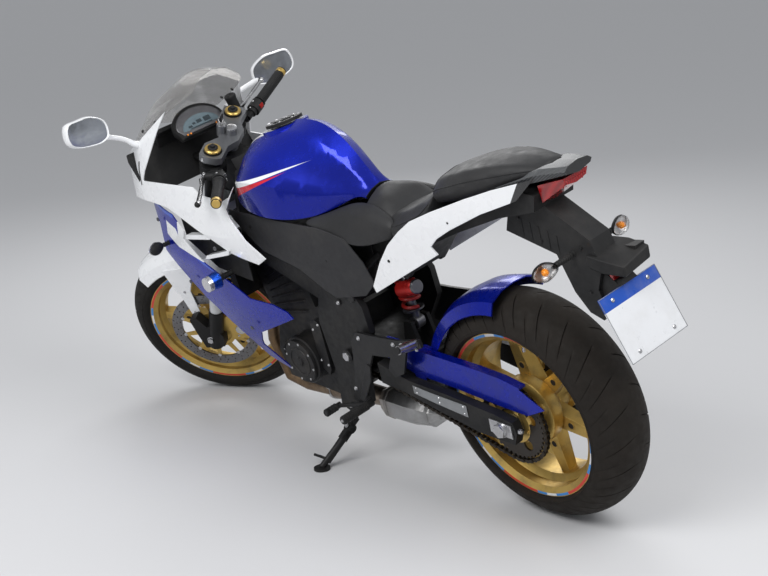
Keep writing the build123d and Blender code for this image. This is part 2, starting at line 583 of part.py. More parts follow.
seat_ring = cap_drum(68.0, -34.0, -1.0 - CAP_CLEAR).rotate(CAP_AXIS, CAP_TILT)
well = cap_drum(CAP_RAD + 7, -1.0 - CAP_CLEAR, 40.0).rotate(CAP_AXIS, CAP_TILT)
hinge_ears = []
for y0, y1 in ((11.0, 17.0), (-17.0, -11.0)):
    hinge_ears.append(Solid.make_box(12, y1 - y0, 18, Plane(origin=(CAP_X + HINGE_U - 6, y0, CAP_Z0 - 12))))
    hinge_ears.append(hinge_bar(y0, y1, 6.0))
hinge_ears.append(hinge_bar(-16.0, 16.0, HINGE_R))
tank = fuse([tank, seat_ring]).cut(well)
tank = fuse([tank] + [piece.rotate(CAP_AXIS, CAP_TILT) for piece in hinge_ears])
save("fuel_tank", tank)
tongue = fuse([Solid.make_box(16, 20, 7, Plane(origin=(CAP_X + 42, -10, CAP_Z0 + 0.5))), hinge_bar(-10.0, 10.0, 5.0)])
cap = cap_drum(CAP_RAD, -1.0, 8.0).cut(Solid.make_box(30, 46, 30, Plane(origin=(CAP_X + 46, -23, CAP_Z0 - 10))))
cap = fuse([cap, cap_drum(CAP_RAD - 22, 7.0, 11.0), tongue]).cut(hinge_bar(-12.0, 12.0, HINGE_R + FIT))
save("filler_cap", cap.rotate(CAP_AXIS, CAP_TILT))

# Seats
RIDER = (
    # x, top z, crown y, crown z, edge y, edge z, bottom z
    (432.0, 842.0, 50.0, 840.0, 70.0, 822.0, 796.0),
    (380.0, 828.0, 70.0, 826.0, 98.0, 806.0, 778.0),
    (280.0, 842.0, 90.0, 836.0, 128.0, 812.0, 782.0),
    (190.0, 886.0, 84.0, 876.0, 122.0, 846.0, 812.0),
    (150.0, 922.0, 70.0, 912.0, 98.0, 886.0, 852.0),
)
PILLION = (
    (138.0, 940.0, 60.0, 932.0, 92.0, 904.0, 872.0),
    (60.0, 972.0, 80.0, 962.0, 112.0, 930.0, 896.0),
    (-40.0, 994.0, 74.0, 984.0, 102.0, 952.0, 918.0),
    (-130.0, 1002.0, 56.0, 992.0, 78.0, 968.0, 941.0),
    (-206.0, 996.0, 34.0, 990.0, 50.0, 978.0, 960.0),
)


def pad(rows, grow=0.0):
    """Cushion through its cross sections, larger all round by grow."""
    loops = []
    for x, top, cy, cz, ey, ez, low in rows:
        loops.append(mirror_loop([(x, 0.0, top + grow), (x, cy + grow, cz + grow), (x, ey + grow, ez),
                                  (x, ey - 12 + grow, low - grow), (x, 0.0, low - grow)]))
    return loft_sections(loops)


SEAT_DROP = 1.6
PILLION_DROP = 0.8
save("rider_seat", pad(RIDER).translate(Vector(0, 0, -SEAT_DROP)))
save("pillion_seat", pad(PILLION).translate(Vector(0, 0, -PILLION_DROP)))

# Tail: under-tail core, side panels, top cover and lamp
core = fuse([
    prism([(430, 770), (360, 640), (330, 640), (240, 740), (100, 800), (-60, 860), (-180, 890), (-190, 930),
           (-130, 938), (0, 905), (110, 862), (200, 800), (300, 772), (380, 768)], -68, 68),
    prism([(470, 760), (400, 766), (380, 700), (400, 640), (470, 640)], -68, 68)])
core = core.cut(prism([(320, 580), (320, 750), (500, 750), (500, 580)], -52, 52))
hanger = fuse([
    prism([(-60, 868), (-40, 812), (-190, 772), (-226, 682), (-262, 636), (-300, 622), (-318, 640), (-300, 700),
           (-322, 760), (-300, 822), (-180, 892)], -34, 34),
    prism([(-300, 700), (-318, 640), (-396, 592), (-404, 600), (-350, 720), (-318, 742)], -24, 24),
    prism([(-300, 728), (-296, 784), (-372, 792), (-366, 748)], -62, -30)])
save("rear_shock", largest(shock.cut(core)))

TAIL_OUTLINE = [(-200, 973), (-82, 944), (2, 918), (112, 879), (188, 848), (237, 815), (290, 772), (340, 715),
                (392, 640), (386, 620), (119, 764), (136, 784), (110, 808), (60, 836), (-43, 884), (-150, 922)]
tail_skin = loft_sections([
    strip([(440, 150, 1000), (440, 146, 800), (440, 140, 600)], (0, -1, 0), 4),
    strip([(250, 138, 1000), (250, 140, 820), (250, 130, 600)], (0, -1, 0), 4),
    strip([(50, 112, 1000), (50, 122, 860), (50, 108, 600)], (0, -1, 0), 4),
    strip([(-230, 60, 1000), (-230, 74, 930), (-230, 60, 600)], (0, -1, 0), 4)])
tail_side = common(tail_skin, prism(TAIL_OUTLINE, 0, 200))
save("tail_panels", both(tail_side))
BOSSES = (
    # x, z, outer y, radius
    (300.0, 726.0, 160.0, 8.0),
    (60.0, 856.0, 140.0, 8.0),
    (-100.0, 914.0, 110.0, 7.0),
)
under_tail = fuse([core, hanger])
for x, z, y, r in BOSSES:
    inner = min(rod((x, 60, z), (x, y, z), r).cut(tail_side).solids(), key=lambda piece: piece.center().Y)
    under_tail = fuse([under_tail] + both(inner))
save("under_tail", under_tail)

PILLION_ROOM = 0.5
cover = loft_sections([
    mirror_loop([(-92, 0, 952), (-92, 70, 952), (-92, 90, 948), (-92, 80, 941), (-92, 0, 941)]),
    mirror_loop([(-200, 0, 992), (-200, 50, 990), (-200, 66, 980), (-200, 58, 962), (-200, 0, 953.4)]),
    mirror_loop([(-276, 0, 1002), (-276, 34, 997), (-276, 46, 988), (-276, 40, 980), (-276, 0, 972.6)])], True)
last = PILLION[-1]
behind = (last[0] - 8.0,) + last[1:]
seat_room = fuse([pad(PILLION, PILLION_ROOM), pad((last, behind), PILLION_ROOM)]).translate(Vector(0, 0, -PILLION_DROP))
save("tail_cover", largest(cover.cut(seat_room, core)))
lamp = loft_sections([
    mirror_loop([(-190.3, 0, 950), (-190.3, 52, 950), (-190.3, 46, 906), (-190.3, 0, 900)]),
    mirror_loop([(-262, 0, 968.4), (-262, 42, 968.4), (-262, 34, 952), (-262, 0, 946)])], True)
save("tail_lamp", lamp)

plate_tilt = 25.0
number = Solid.make_box(2.5, 200, 162, Plane(origin=(-1.2, -100, -85))).rotate(Axis((0, 0, 0), (0, 1, 0)), plate_tilt)
save("number_plate", number.translate(Vector(-387.3, 0, 643.8)))

# Upper fairing: a bowl-shaped skin round the nose, cut to its side outline
PLAN = (
    # x, y, inward x, inward y, tuck of the upper edge
    (700.0, 204.0, 0.0, -1.0, 44.0),
    (880.0, 224.0, 0.0, -1.0, 50.0),
    (1050.0, 229.0, 0.0, -1.0, 48.0),
    (1200.0, 227.0, -0.08, -1.0, 32.0),
    (1310.0, 221.0, -0.2, -1.0, 16.0),
    (1390.0, 210.0, -0.5, -1.0, 14.0),
    (1448.0, 180.0, -1.0, -1.0, 14.0),
    (1490.0, 128.0, -1.0, -0.6, 14.0),
    (1512.0, 60.0, -1.0, -0.3, 14.0),
    (1520.0, 0.0, -1.0, 0.0, 14.0),
)
SKIN_T = 4.0


def skin_section(row, thickness, sink):
    """Upright strip at one place of the plan curve, sunk by a little for a pane behind it."""
    x, y, ix, iy, tuck = row
    k = math.hypot(ix, iy)
    profile = ((600, 30), (740, 2), (800, tuck * 0.2), (860, tuck * 0.65), (900, tuck), (1110, tuck + 70))
    outer = [(x + ix / k * (d + sink), y + iy / k * (d + sink), z) for z, d in profile]
    return strip(outer, (ix, iy, 0), thickness)


white_skin = loft_sections([skin_section(row, SKIN_T, 0.0) for row in PLAN], True)
WHITE_OUTLINE = [(1190, 1070), (1232, 1010), (1314, 868), (1060, 868), (1020, 850), (918, 842), (884, 856),
                 (866, 884), (897, 822), (775, 684), (818, 660), (928, 687),
                 (1015, 735), (1088, 760), (1195, 799), (1290, 806), (1400, 806), (1560, 812), (1560, 890),
                 (1460, 916), (1400, 944), (1310, 990)]
white_half = common(white_skin, prism(WHITE_OUTLINE, 0, 300))
LAMP_FRONT = [(34, 826), (150, 846), (172, 884), (150, 900), (60, 872), (30, 856)]
LAMP_HOLE = [(30, 821), (153, 841), (178, 885), (152, 906), (58, 878), (25, 859)]
LAMP_FLANGE = [(24, 813), (157, 835), (185, 886), (153, 914), (54, 886), (18, 863)]
white_half = white_half.cut(prism_x(LAMP_HOLE, 1400, 1600))
VANES = (
    # side views of the two blades between the white wing and the side panel
    ((1140, 704), (1130, 720), (998, 738), (1004, 722)),
    ((1066, 648), (1050, 664), (918, 700), (926, 684)),
)
white_half = fuse([white_half] + [prism(vane, 202, 222) for vane in VANES])
upper = fuse(both(white_half))
save("upper_fairing", upper)
lens_skin = loft_sections([skin_section(row, 6.0, 1.0) for row in PLAN], True)
flange_skin = loft_sections([skin_section(row, 2.6, SKIN_T + SEAT) for row in PLAN], True)
lens = fuse([common(lens_skin, prism_x(LAMP_FRONT, 1400, 1600)), common(flange_skin, prism_x(LAMP_FLANGE, 1400, 1600))])
save("headlamp", both(lens))

# Windscreen
SCREEN = (
    # x, crown z, mid y, mid z, edge y, edge z
    (1096.0, 1160.0, 48.0, 1148.0, 84.0, 1118.0),
    (1200.0, 1150.0, 70.0, 1126.0, 138.4, 1060.0),
    (1330.0, 1102.0, 78.0, 1074.0, 152.0, 998.0),
    (1440.0, 1026.0, 70.0, 1002.0, 138.0, 946.0),
    (1490.0, 966.0, 48.0, 952.0, 96.0, 924.0),
)
screen_loops = []
for x, cz, my, mz, ey, ez in SCREEN:
    line = [(x, -ey, ez), (x, -my, mz), (x, 0.0, cz), (x, my, mz), (x, ey, ez)]
    screen_loops.append(strip(line, (0, 0, -1), 4.0))
save("windscreen", loft_sections(screen_loops))

# Blue side fairings
SIDE = (
    # x, then y at heights 800, 640, 500, 380, 240
    (700.0, 212.0, 210.0, 196.0, 176.0, 120.0),
    (900.0, 222.0, 226.0, 208.0, 178.0, 118.0),
    (1100.0, 222.0, 232.0, 206.0, 170.0, 112.0),
    (1400.0, 150.0, 184.0, 170.0, 140.0, 90.0),
)
SIDE_Z = (800.0, 640.0, 500.0, 380.0, 240.0)
side_skin = loft_sections([strip([(row[0], y, z) for y, z in zip(row[1:], SIDE_Z)], (0, -1, 0.15), 4.0) for row in SIDE])
BLUE_OUTLINE = [(1384, 790), (1195, 774), (1134, 732), (1150, 704), (1085, 660), (1000, 612), (938, 575),
                (897, 547), (794, 543), (740, 526), (722, 506), (933, 415), (974, 357), (940, 311), (900, 255),
                (1000, 300), (1040, 372), (1083, 413), (1174, 510), (1303, 638), (1320, 722)]
BOBBIN_AT = (990.0, 606.0)
blue = common(side_skin, prism(BLUE_OUTLINE, 0, 300))
blue = blue.cut(rod((BOBBIN_AT[0], 150, BOBBIN_AT[1]), (BOBBIN_AT[0], 280, BOBBIN_AT[1]), 9 + SEAT))
save("side_fairings", both(blue))

# Turn signals, front pair on the side fairings and rear pair on the plate hanger
signals = []
for x, y0, y1, z, skin in ((-242.0, 34.0 + SEAT, 134.0, 780.0, None), (1266.0, 196.0, 262.0, 672.0, blue)):
    stalk = rod((x, y0, z), (x, y1 - 20, z), 7)
    if skin is not None:
        stalk = max(stalk.cut(skin).solids(), key=lambda piece: piece.center().Y)
    signals.append(fuse([stalk, rod((x, y1 - 22, z), (x, y1 + 14, z), 22, 14)]))
save("turn_signals", both(signals[0]) + both(signals[1]))

# Side covers over the frame
cover_skin = loft_sections([
    strip([(1000, 150, 820), (1000, 156, 700), (1000, 150, 540)], (0, -1, 0), 4),
    strip([(700, 152, 820), (700, 158, 700), (700, 150, 540)], (0, -1, 0), 4),
    strip([(560, 146, 820), (560, 152, 700), (560, 148, 540)], (0, -1, 0), 4),
    strip([(320, 112, 820), (320, 116, 700), (320, 112, 540)], (0, -1, 0), 4)])
COVER_OUTLINE = [(980, 790), (800, 788), (572, 784), (527, 776), (470, 762), (420, 700), (398, 640), (440, 600),
                 (560, 578), (600, 595), (693, 648), (845, 680), (960, 760)]
COVER_IN = 1.6
side_cover = common(cover_skin, prism(COVER_OUTLINE, 0, 300)).translate(Vector(0, -COVER_IN, 0))
save("side_covers", both(side_cover))

# Mirrors on stalks
MIRROR_X = 1312.0
STALK_Z = 984.0
MIRROR_HEADS = (
    # side, centre y, centre z
    (1.0, 330.0, 1066.0),
    (-1.0, 350.0, 1026.0),
)
MIRROR_RING = ((58.0, 44.0), (-24.0, 42.0), (-66.0, 12.0), (-62.0, -40.0), (-8.0, -42.0), (62.0, -22.0), (70.0, 14.0))


def mirror_loft(side, my, mz, stations):
    """Mirror outline scaled at each station behind the glass plane."""
    loops = [[(MIRROR_X + dx, side * (my + u * k), mz + v * k) for u, v in MIRROR_RING] for dx, k in stations]
    return loft_sections(loops, True)


mirrors = []
glasses = []
for side, my, mz in MIRROR_HEADS:
    shell = mirror_loft(side, my, mz, ((0.0, 1.0), (26.0, 1.04), (50.0, 0.66)))
    shell = shell.cut(mirror_loft(side, my, mz, ((-2.0, 0.9), (6.0, 0.9))))
    bend_z = STALK_Z + 0.45 * (mz - 14 - STALK_Z)
    stalk = loft_sections([
        [(1355, side * 155, 964), (1330, side * 155, 976), (1315, side * 155, 964), (1340, side * 155, 952)],
        [(1350, side * 190, STALK_Z), (1333, side * 190, STALK_Z + 11), (1316, side * 190, STALK_Z),
         (1333, side * 190, STALK_Z - 12)],
        [(1350, side * 216, bend_z), (1338, side * 216, bend_z + 9), (1324, side * 216, bend_z),
         (1338, side * 216, bend_z - 10)],
        [(1352, side * (my - 30), mz - 14), (1344, side * (my - 30), mz - 6), (1328, side * (my - 30), mz - 12),
         (1336, side * (my - 30), mz - 20)]], True)
    mirrors.append(largest(fuse([shell, stalk]).cut(upper)))
    glasses.append(mirror_loft(side, my, mz, ((1.0, 0.87), (6.0 - SEAT, 0.87))))
save("mirrors", mirrors)
save("mirror_glasses", glasses)

# Black inner panel of the cockpit with the instrument on its stay
dial = prism([(1220, 1014), (1252, 1068), (1288, 1050), (1292, 1006), (1244, 1002)], -72, 72)
inner_panel = prism([(1302, 816), (1314, 810), (1376, 920), (1374, 944), (1362, 948)], -220, 220)
stay = prism([(1288, 1012), (1258, 1012), (1340, 910), (1372, 936)], -30, 30)
cockpit = largest(fuse([inner_panel, stay, dial]).cut(upper))
save("cockpit_panel", cockpit)

# Foot rests, their hangers, pillion pegs and foot levers
hang = prism([(530, 456), (500, 490), (440, 492), (330, 500), (236, 520), (228, 500), (300, 470), (330, 400), (372, 380),
              (392, 400), (372, 440), (450, 430), (500, 350), (556, 250), (588, 262), (552, 350)], 151, 159)
peg_rider = rod((520, 150, 262), (520, 262, 262), 11)
peg_pillion = rod((250, 150, 508), (244, 226, 522), 10)
lever_foot = fuse([rod((520, 160, 262), (650, 178, 232), 6), rod((650, 170, 232), (650, 226, 232), 9)])
spacers = [rod((x, PLATE_OUT + SEAT, z), (x, 152, z), 9) for x, z in ((492, 474), (566, 300))]
hanger_side = fuse([hang, peg_rider, peg_pillion, lever_foot] + spacers)
save("footrests", both(hanger_side))

# Crash bobbins through the side fairings
bobbin = fuse([rod((BOBBIN_AT[0], 98 + SEAT, BOBBIN_AT[1]), (BOBBIN_AT[0], 262, BOBBIN_AT[1]), 9),
               rod((BOBBIN_AT[0], 242, BOBBIN_AT[1]), (BOBBIN_AT[0], 284, BOBBIN_AT[1]), 26, 22)])
save("crash_bobbins", both(bobbin))

# Side stand, down: a fork-ended leg on the frame's lug, with its pad flat on the floor
STAND_PIVOT = Vector(662, 152, 140)
STAND_PAD = Vector(684, 268, 58.95)
FLOOR_UP = Vector(-0.00595, -0.20791, 0.97813)
STAND_AXIS = Vector(0.0608, 0.5635, 0.8239).normalized()
LUG_HALF = 5.0
EAR_GAP = 0.4
EAR_THICK = 6.0
PIN_R = 6.0
leg_dir = (STAND_PAD - STAND_PIVOT).normalized()


def along(axis, low, high, radius, centre=STAND_PIVOT):
    """Round plate on the stand's hinge line."""
    return Solid.make_cylinder(radius, high - low, Plane(origin=centre + axis * low, z_dir=axis))


ears = [along(STAND_AXIS, LUG_HALF + EAR_GAP, LUG_HALF + EAR_GAP + EAR_THICK, 15),
        along(STAND_AXIS, -LUG_HALF - EAR_GAP - EAR_THICK, -LUG_HALF - EAR_GAP, 15),
        along(STAND_AXIS, -LUG_HALF - EAR_THICK - 3, LUG_HALF + EAR_THICK + 3, PIN_R)]
side_dir = STAND_AXIS.cross(leg_dir)
arm_plane = Plane(origin=STAND_PIVOT + leg_dir * 8 - side_dir * 9, x_dir=leg_dir, z_dir=STAND_AXIS)
for low in (LUG_HALF + EAR_GAP, -LUG_HALF - EAR_GAP - EAR_THICK):
    ears.append(Solid.make_box(30, 18, EAR_THICK, Plane(
        origin=arm_plane.origin + STAND_AXIS * low, x_dir=leg_dir, z_dir=STAND_AXIS)))
ears.append(Solid.make_box(14, 18, 22.8, Plane(
    origin=arm_plane.origin + leg_dir * 18 - STAND_AXIS * 11.4, x_dir=leg_dir, z_dir=STAND_AXIS)))
leg_bar = rod(STAND_PIVOT + leg_dir * 30, STAND_PAD + FLOOR_UP * 8, 9.5)
pad_disc = Solid.make_cylinder(24, 7, Plane(origin=STAND_PAD, z_dir=FLOOR_UP))
prong = rod(STAND_PAD + leg_dir * -34, STAND_PAD + leg_dir * -38 + Vector(52, 14, 6), 4)
save("side_stand", fuse(ears + [leg_bar, pad_disc, prong]))

lug = along(STAND_AXIS, -LUG_HALF, LUG_HALF, 14)
lug_arm = Solid.make_box(36, 16, 2 * LUG_HALF, Plane(
    origin=STAND_PIVOT - STAND_AXIS * LUG_HALF + side_dir * 8, x_dir=leg_dir * -1, z_dir=STAND_AXIS))
riser = rod(STAND_PIVOT - leg_dir * 30, Vector(655, 128, 204), 8.5)
frame_body = fuse([frame_body, lug, lug_arm, riser]).cut(along(STAND_AXIS, -20, 20, PIN_R + FIT))

# Rests on the frame: tank, engine, seat frame and nose stay
tank_rest = rod((900, 118, 755), (900, 118, 830), 10).cut(tank)
tank_rest = min(tank_rest.solids(), key=lambda piece: piece.center().Z)
seat_arm = max(rod((524, 126, 606), (436, 60, 694), 11).cut(core).solids(), key=lambda piece: piece.center().Y)
mounts = [rod((668, 98 + SEAT, 466), (668, 122, 466), 9), rod((900, 98 + SEAT, 690), (900, 108, 690), 10)]
nose_stay = min(rod((1150, 0, 850), (1340, 0, 866), 13).cut(cockpit).solids(), key=lambda piece: piece.center().X)
nose_stay = nose_stay.cut(rod((steer_x(700), 0, 700), (steer_x(1000), 0, 1000), STEM_R + 8))
nose_stay = max(nose_stay.solids(), key=lambda piece: piece.center().X)
rests = [nose_stay]
for piece in [tank_rest, seat_arm] + mounts:
    rests.extend(both(piece))
frame_body = fuse([frame_body] + rests)
save("frame", frame_body)
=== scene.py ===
"""Looks of the parked sport motorcycle: paint, rubber, cushions and small parts round the CAD frame."""
import math
import bpy
import bmesh
from mathutils import Matrix, Vector


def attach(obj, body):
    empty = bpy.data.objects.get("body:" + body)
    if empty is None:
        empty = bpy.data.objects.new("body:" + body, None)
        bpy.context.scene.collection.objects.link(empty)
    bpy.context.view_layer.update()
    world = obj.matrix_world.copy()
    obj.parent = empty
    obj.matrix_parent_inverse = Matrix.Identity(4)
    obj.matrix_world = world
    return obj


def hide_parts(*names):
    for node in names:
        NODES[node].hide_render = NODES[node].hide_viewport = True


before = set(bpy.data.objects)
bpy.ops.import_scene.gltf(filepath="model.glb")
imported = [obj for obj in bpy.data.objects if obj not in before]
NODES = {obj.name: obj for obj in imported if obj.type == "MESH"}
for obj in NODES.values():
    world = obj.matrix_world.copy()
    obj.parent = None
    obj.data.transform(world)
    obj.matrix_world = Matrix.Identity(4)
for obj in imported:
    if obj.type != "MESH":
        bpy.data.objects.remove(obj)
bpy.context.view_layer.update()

# Parked pose, as in the CAD source: upright millimetres to world metres
MM = 0.001
LEAN = math.radians(-12.0)
PITCH = math.radians(0.34877)
PLACE = Vector((-641.917, -205.491, 2.125))
UPRIGHT = Matrix.Translation(PLACE) @ Matrix.Rotation(LEAN, 4, "X") @ Matrix.Rotation(PITCH, 4, "Y")
STEER_FOOT = Vector((1535.0, 0.0, 0.0))
RAKE = math.radians(25.0)
STEER_LINE = Vector((-math.sin(RAKE), 0.0, math.cos(RAKE)))
STEER_AHEAD = Vector((math.cos(RAKE), 0.0, math.sin(RAKE)))
STEER_TURN = Matrix.Translation(STEER_FOOT) @ Matrix.Rotation(math.radians(35.0), 4, STEER_LINE)
STEERED = UPRIGHT @ STEER_TURN @ Matrix.Translation(-STEER_FOOT)
FORK_LEAD = 28.7


def steer_x(z):
    """x of the steering axis at height z."""
    return STEER_FOOT.x - z * math.tan(RAKE)


def leg_x(z):
    """x of a fork leg's centre line at height z."""
    return steer_x(z) + FORK_LEAD


SOCKETS = {"color": "Base Color", "metal": "Metallic", "rough": "Roughness", "normal": "Normal",
           "coat": "Coat Weight", "coat_rough": "Coat Roughness", "clear": "Transmission Weight",
           "ior": "IOR", "alpha": "Alpha", "spec": "Specular IOR Level"}


# Finishes
class Finish:
    """A procedural material whose patterns are laid out in upright millimetres."""

    def __init__(self, name, steered=False):
        self.mat = bpy.data.materials.new(name)
        self.mat.use_nodes = True
        self.nt = self.mat.node_tree
        self.nt.nodes.clear()
        self.out = self.nt.nodes.new("ShaderNodeOutputMaterial")
        self.bsdf = self.nt.nodes.new("ShaderNodeBsdfPrincipled")
        self.nt.links.new(self.bsdf.outputs["BSDF"], self.out.inputs["Surface"])
        coord = self.nt.nodes.new("ShaderNodeTexCoord")
        mapping = self.nt.nodes.new("ShaderNodeMapping")
        mapping.vector_type = "TEXTURE"
        pose = STEERED if steered else UPRIGHT
        mapping.inputs["Location"].default_value = pose.to_translation() * MM
        mapping.inputs["Rotation"].default_value = pose.to_euler()
        mapping.inputs["Scale"].default_value = (MM, MM, MM)
        self.nt.links.new(coord.outputs["Object"], mapping.inputs["Vector"])
        self.place = mapping.outputs["Vector"]
        split = self.nt.nodes.new("ShaderNodeSeparateXYZ")
        self.nt.links.new(self.place, split.inputs["Vector"])
        self.x, self.y, self.z = split.outputs

    def feed(self, socket, value):
        """Link or plain value into a socket."""
        if isinstance(value, bpy.types.NodeSocket):
            self.nt.links.new(value, socket)
        else:
            socket.default_value = value

    def math(self, operation, a, b=None, c=None):
        """Arithmetic node."""
        node = self.nt.nodes.new("ShaderNodeMath")
        node.operation = operation
        for socket, value in zip(node.inputs, (a, b, c)):
            if value is not None:
                self.feed(socket, value)
        return node.outputs[0]

    def span(self, value, low, high, out_low=0.0, out_high=1.0, smooth=False):
        """Value carried from one range to another, held at its ends."""
        node = self.nt.nodes.new("ShaderNodeMapRange")
        node.interpolation_type = "SMOOTHSTEP" if smooth else "LINEAR"
        for key, v in (("Value", value), ("From Min", low), ("From Max", high), ("To Min", out_low),
                       ("To Max", out_high)):
            self.feed(node.inputs[key], v)
        return node.outputs[0]

    def noise(self, size, detail=4.0, rough=0.55, vector=None):
        """Cloudy pattern whose largest forms are about size mm."""
        node = self.nt.nodes.new("ShaderNodeTexNoise")
        node.inputs["Scale"].default_value = 1.0 / size
        node.inputs["Detail"].default_value = detail
        node.inputs["Roughness"].default_value = rough
        self.nt.links.new(vector or self.place, node.inputs["Vector"])
        return node.outputs["Fac"]

    def uneven(self, size, low, high, detail=4.0, rough=0.55):
        """Number that wanders from low to high over patches of about size mm."""
        return self.span(self.noise(size, detail, rough), 0.3, 0.7, low, high)

    def cells(self, size):
        """Pattern of cells size mm apart."""
        node = self.nt.nodes.new("ShaderNodeTexVoronoi")
        node.inputs["Scale"].default_value = 1.0 / size
        self.nt.links.new(self.place, node.inputs["Vector"])
        return node.outputs["Distance"]

    def mix(self, factor, a, b):
        """Colour a at factor 0, colour b at factor 1."""
        node = self.nt.nodes.new("ShaderNodeMix")
        node.data_type = "RGBA"
        self.feed(node.inputs[0], factor)
        self.feed(node.inputs[6], a)
        self.feed(node.inputs[7], b)
        return node.outputs[2]

    def bump(self, height, distance):
        """Surface relief, up to distance in mm."""
        node = self.nt.nodes.new("ShaderNodeBump")
        node.inputs["Strength"].default_value = 1.0
        node.inputs["Distance"].default_value = distance * MM
        self.nt.links.new(height, node.inputs["Height"])
        return node.outputs["Normal"]

    def inside(self, points, soft=0.6):
        """1 inside a convex side-view polygon (x, z) listed anticlockwise or clockwise, 0 outside."""
        cx = sum(p[0] for p in points) / len(points)
        cz = sum(p[1] for p in points) / len(points)
        nearest = None
        for (ax, az), (bx, bz) in zip(points, points[1:] + points[:1]):
            nx, nz = az - bz, bx - ax
            size = math.hypot(nx, nz)
            nx, nz = nx / size, nz / size
            if nx * (cx - ax) + nz * (cz - az) < 0:
                nx, nz = -nx, -nz
            edge = self.math("MULTIPLY_ADD", self.x, nx, -(nx * ax + nz * az))
            edge = self.math("MULTIPLY_ADD", self.z, nz, edge)
            nearest = edge if nearest is None else self.math("MINIMUM", nearest, edge)
        return self.span(nearest, -soft, soft)

    def radius(self, centre):
        """Distance from a wheel's axle and the angle round it, in the side view."""
        dx = self.math("SUBTRACT", self.x, centre[0])
        dz = self.math("SUBTRACT", self.z, centre[2])
        squares = self.math("ADD", self.math("MULTIPLY", dx, dx), self.math("MULTIPLY", dz, dz))
        distance = self.math("SQRT", squares)
        return distance, self.math("ARCTAN2", dz, dx)

    def set(self, **values):
        """Values or links for the shader's own sockets."""
        for key, value in values.items():
            self.feed(self.bsdf.inputs[SOCKETS[key]], value)


# Colours, and the wheels' centres
WHITE = (0.80, 0.81, 0.82)
BLUE = (0.002, 0.022, 0.55)
BLUE_DEEP = (0.001, 0.008, 0.26)
GOLD = (0.60, 0.41, 0.12)
BLACK = (0.014, 0.014, 0.0145)
PLASTIC = (0.015, 0.015, 0.0155)
WHEELBASE = 1437.0
REAR_AXLE = (0.0, 0.0, 315.0)
FRONT_AXLE = (WHEELBASE, 0.0, 300.0)


def rgb(r, g, b):
    """Opaque colour."""
    return (r, g, b, 1.0)


def shades(color, low, high):
    """A darker and a lighter version of a colour."""
    return rgb(*[c * low for c in color]), rgb(*[min(1.0, c * high) for c in color])


def dusty(finish, base, dust, amount, size=90.0):
    """Base colour with a thin uneven film of dust."""
    patch = finish.noise(size, 6.0, 0.65)
    film = finish.span(patch, 0.42, 0.75, 0.0, amount, True)
    return finish.mix(film, base, dust)


def worn(name, color, dust=(0.07, 0.065, 0.06), amount=0.20, metal=0.0, low=0.35, high=0.55, grain=0.0,
         grain_size=1.2, steered=False, coat=0.0):
    """Painted or plain surface with small changes of tone and gloss."""
    finish = Finish(name, steered)
    tone = finish.noise(38.0, 4.0, 0.6)
    shade = finish.mix(tone, *shades(color, 0.86, 1.12))
    finish.set(color=dusty(finish, shade, rgb(*dust), amount), metal=metal, coat=coat, coat_rough=0.08,
               rough=finish.uneven(17.0, low, high, 5.0, 0.6),
               spec=0.22 if max(color) < 0.08 else 0.5)
    if grain > 0.0:
        finish.set(normal=finish.bump(finish.noise(grain_size, 2.0, 0.5), grain))
    return finish


def lacquer(name, deep, bright):
    """Metallic paint: flakes of the bright colour in the deep one, under a clear coat."""
    finish = Finish(name)
    sparkle = finish.span(finish.cells(0.9), 0.1, 0.7)
    tone = finish.noise(60.0, 2.0)
    finish.color = finish.mix(finish.span(sparkle, 0.35, 1.0, 0.0, 0.6), rgb(*deep), rgb(*bright))
    finish.color = finish.mix(finish.span(tone, 0.3, 0.7, 0.0, 0.12), finish.color, rgb(*[c * 0.8 for c in deep]))
    finish.set(metal=0.55, rough=finish.uneven(25.0, 0.22, 0.30), coat=0.35, coat_rough=0.03,
               spec=0.2)
    return finish


def white_paint(name, steered=False):
    """Glossy white with a trace of dust."""
    finish = Finish(name, steered)
    tone = finish.noise(120.0, 3.0)
    base = finish.mix(tone, rgb(0.82, 0.83, 0.85), rgb(0.88, 0.89, 0.90))
    finish.color = dusty(finish, base, rgb(0.62, 0.60, 0.57), 0.10)
    finish.set(color=finish.color, rough=finish.uneven(30.0, 0.24, 0.34), coat=0.8,
               coat_rough=0.04)
    return finish


# Upper fairing, with a slot in its edge painted near-black as shade
fairing_white = white_paint("fairing_white")
slot_shade_mask = fairing_white.inside([(1331, 924), (1332, 852), (1324, 854), (1322, 926)])
fairing_white.set(color=fairing_white.mix(slot_shade_mask, fairing_white.color, rgb(0.02, 0.02, 0.02)))

# The tail's white ends ahead of the lamp; its last stretch is black
tail_white = white_paint("tail_white")
tail_end = tail_white.span(tail_white.math("MULTIPLY_ADD", tail_white.z, 0.5, tail_white.x), 323.5, 324.5)
tail_white.set(color=tail_white.mix(tail_end, rgb(0.018, 0.018, 0.019), tail_white.color))
guard_white = white_paint("guard_white", True)
mirror_white = white_paint("mirror_white")

# Side fairing: lighter blue bands painted as highlights along its top edge and lower back, and a blank white lozenge
side_blue = lacquer("side_blue", BLUE_DEEP, BLUE)
top_highlight_band = side_blue.inside([(1400, 800), (1190, 778), (1194, 762), (1400, 784)])
lower_highlight_band = side_blue.inside([(1156, 708), (1085, 662), (1000, 614), (996, 604), (1090, 648), (1164, 698)])
side_color = side_blue.mix(side_blue.math("MAXIMUM", top_highlight_band, lower_highlight_band), side_blue.color, rgb(0.03, 0.10, 0.62))
lozenge = side_blue.math("MAXIMUM",
                         side_blue.inside([(1252, 746), (1190, 731), (1155, 667), (1190, 672), (1262, 702)]),
                         side_blue.inside([(1180, 712), (1155, 667), (1057, 645), (1190, 674)]))
side_blue.set(color=side_blue.mix(lozenge, side_color, rgb(*WHITE)),
              metal=side_blue.span(lozenge, 0.0, 1.0, 0.55, 0.0))
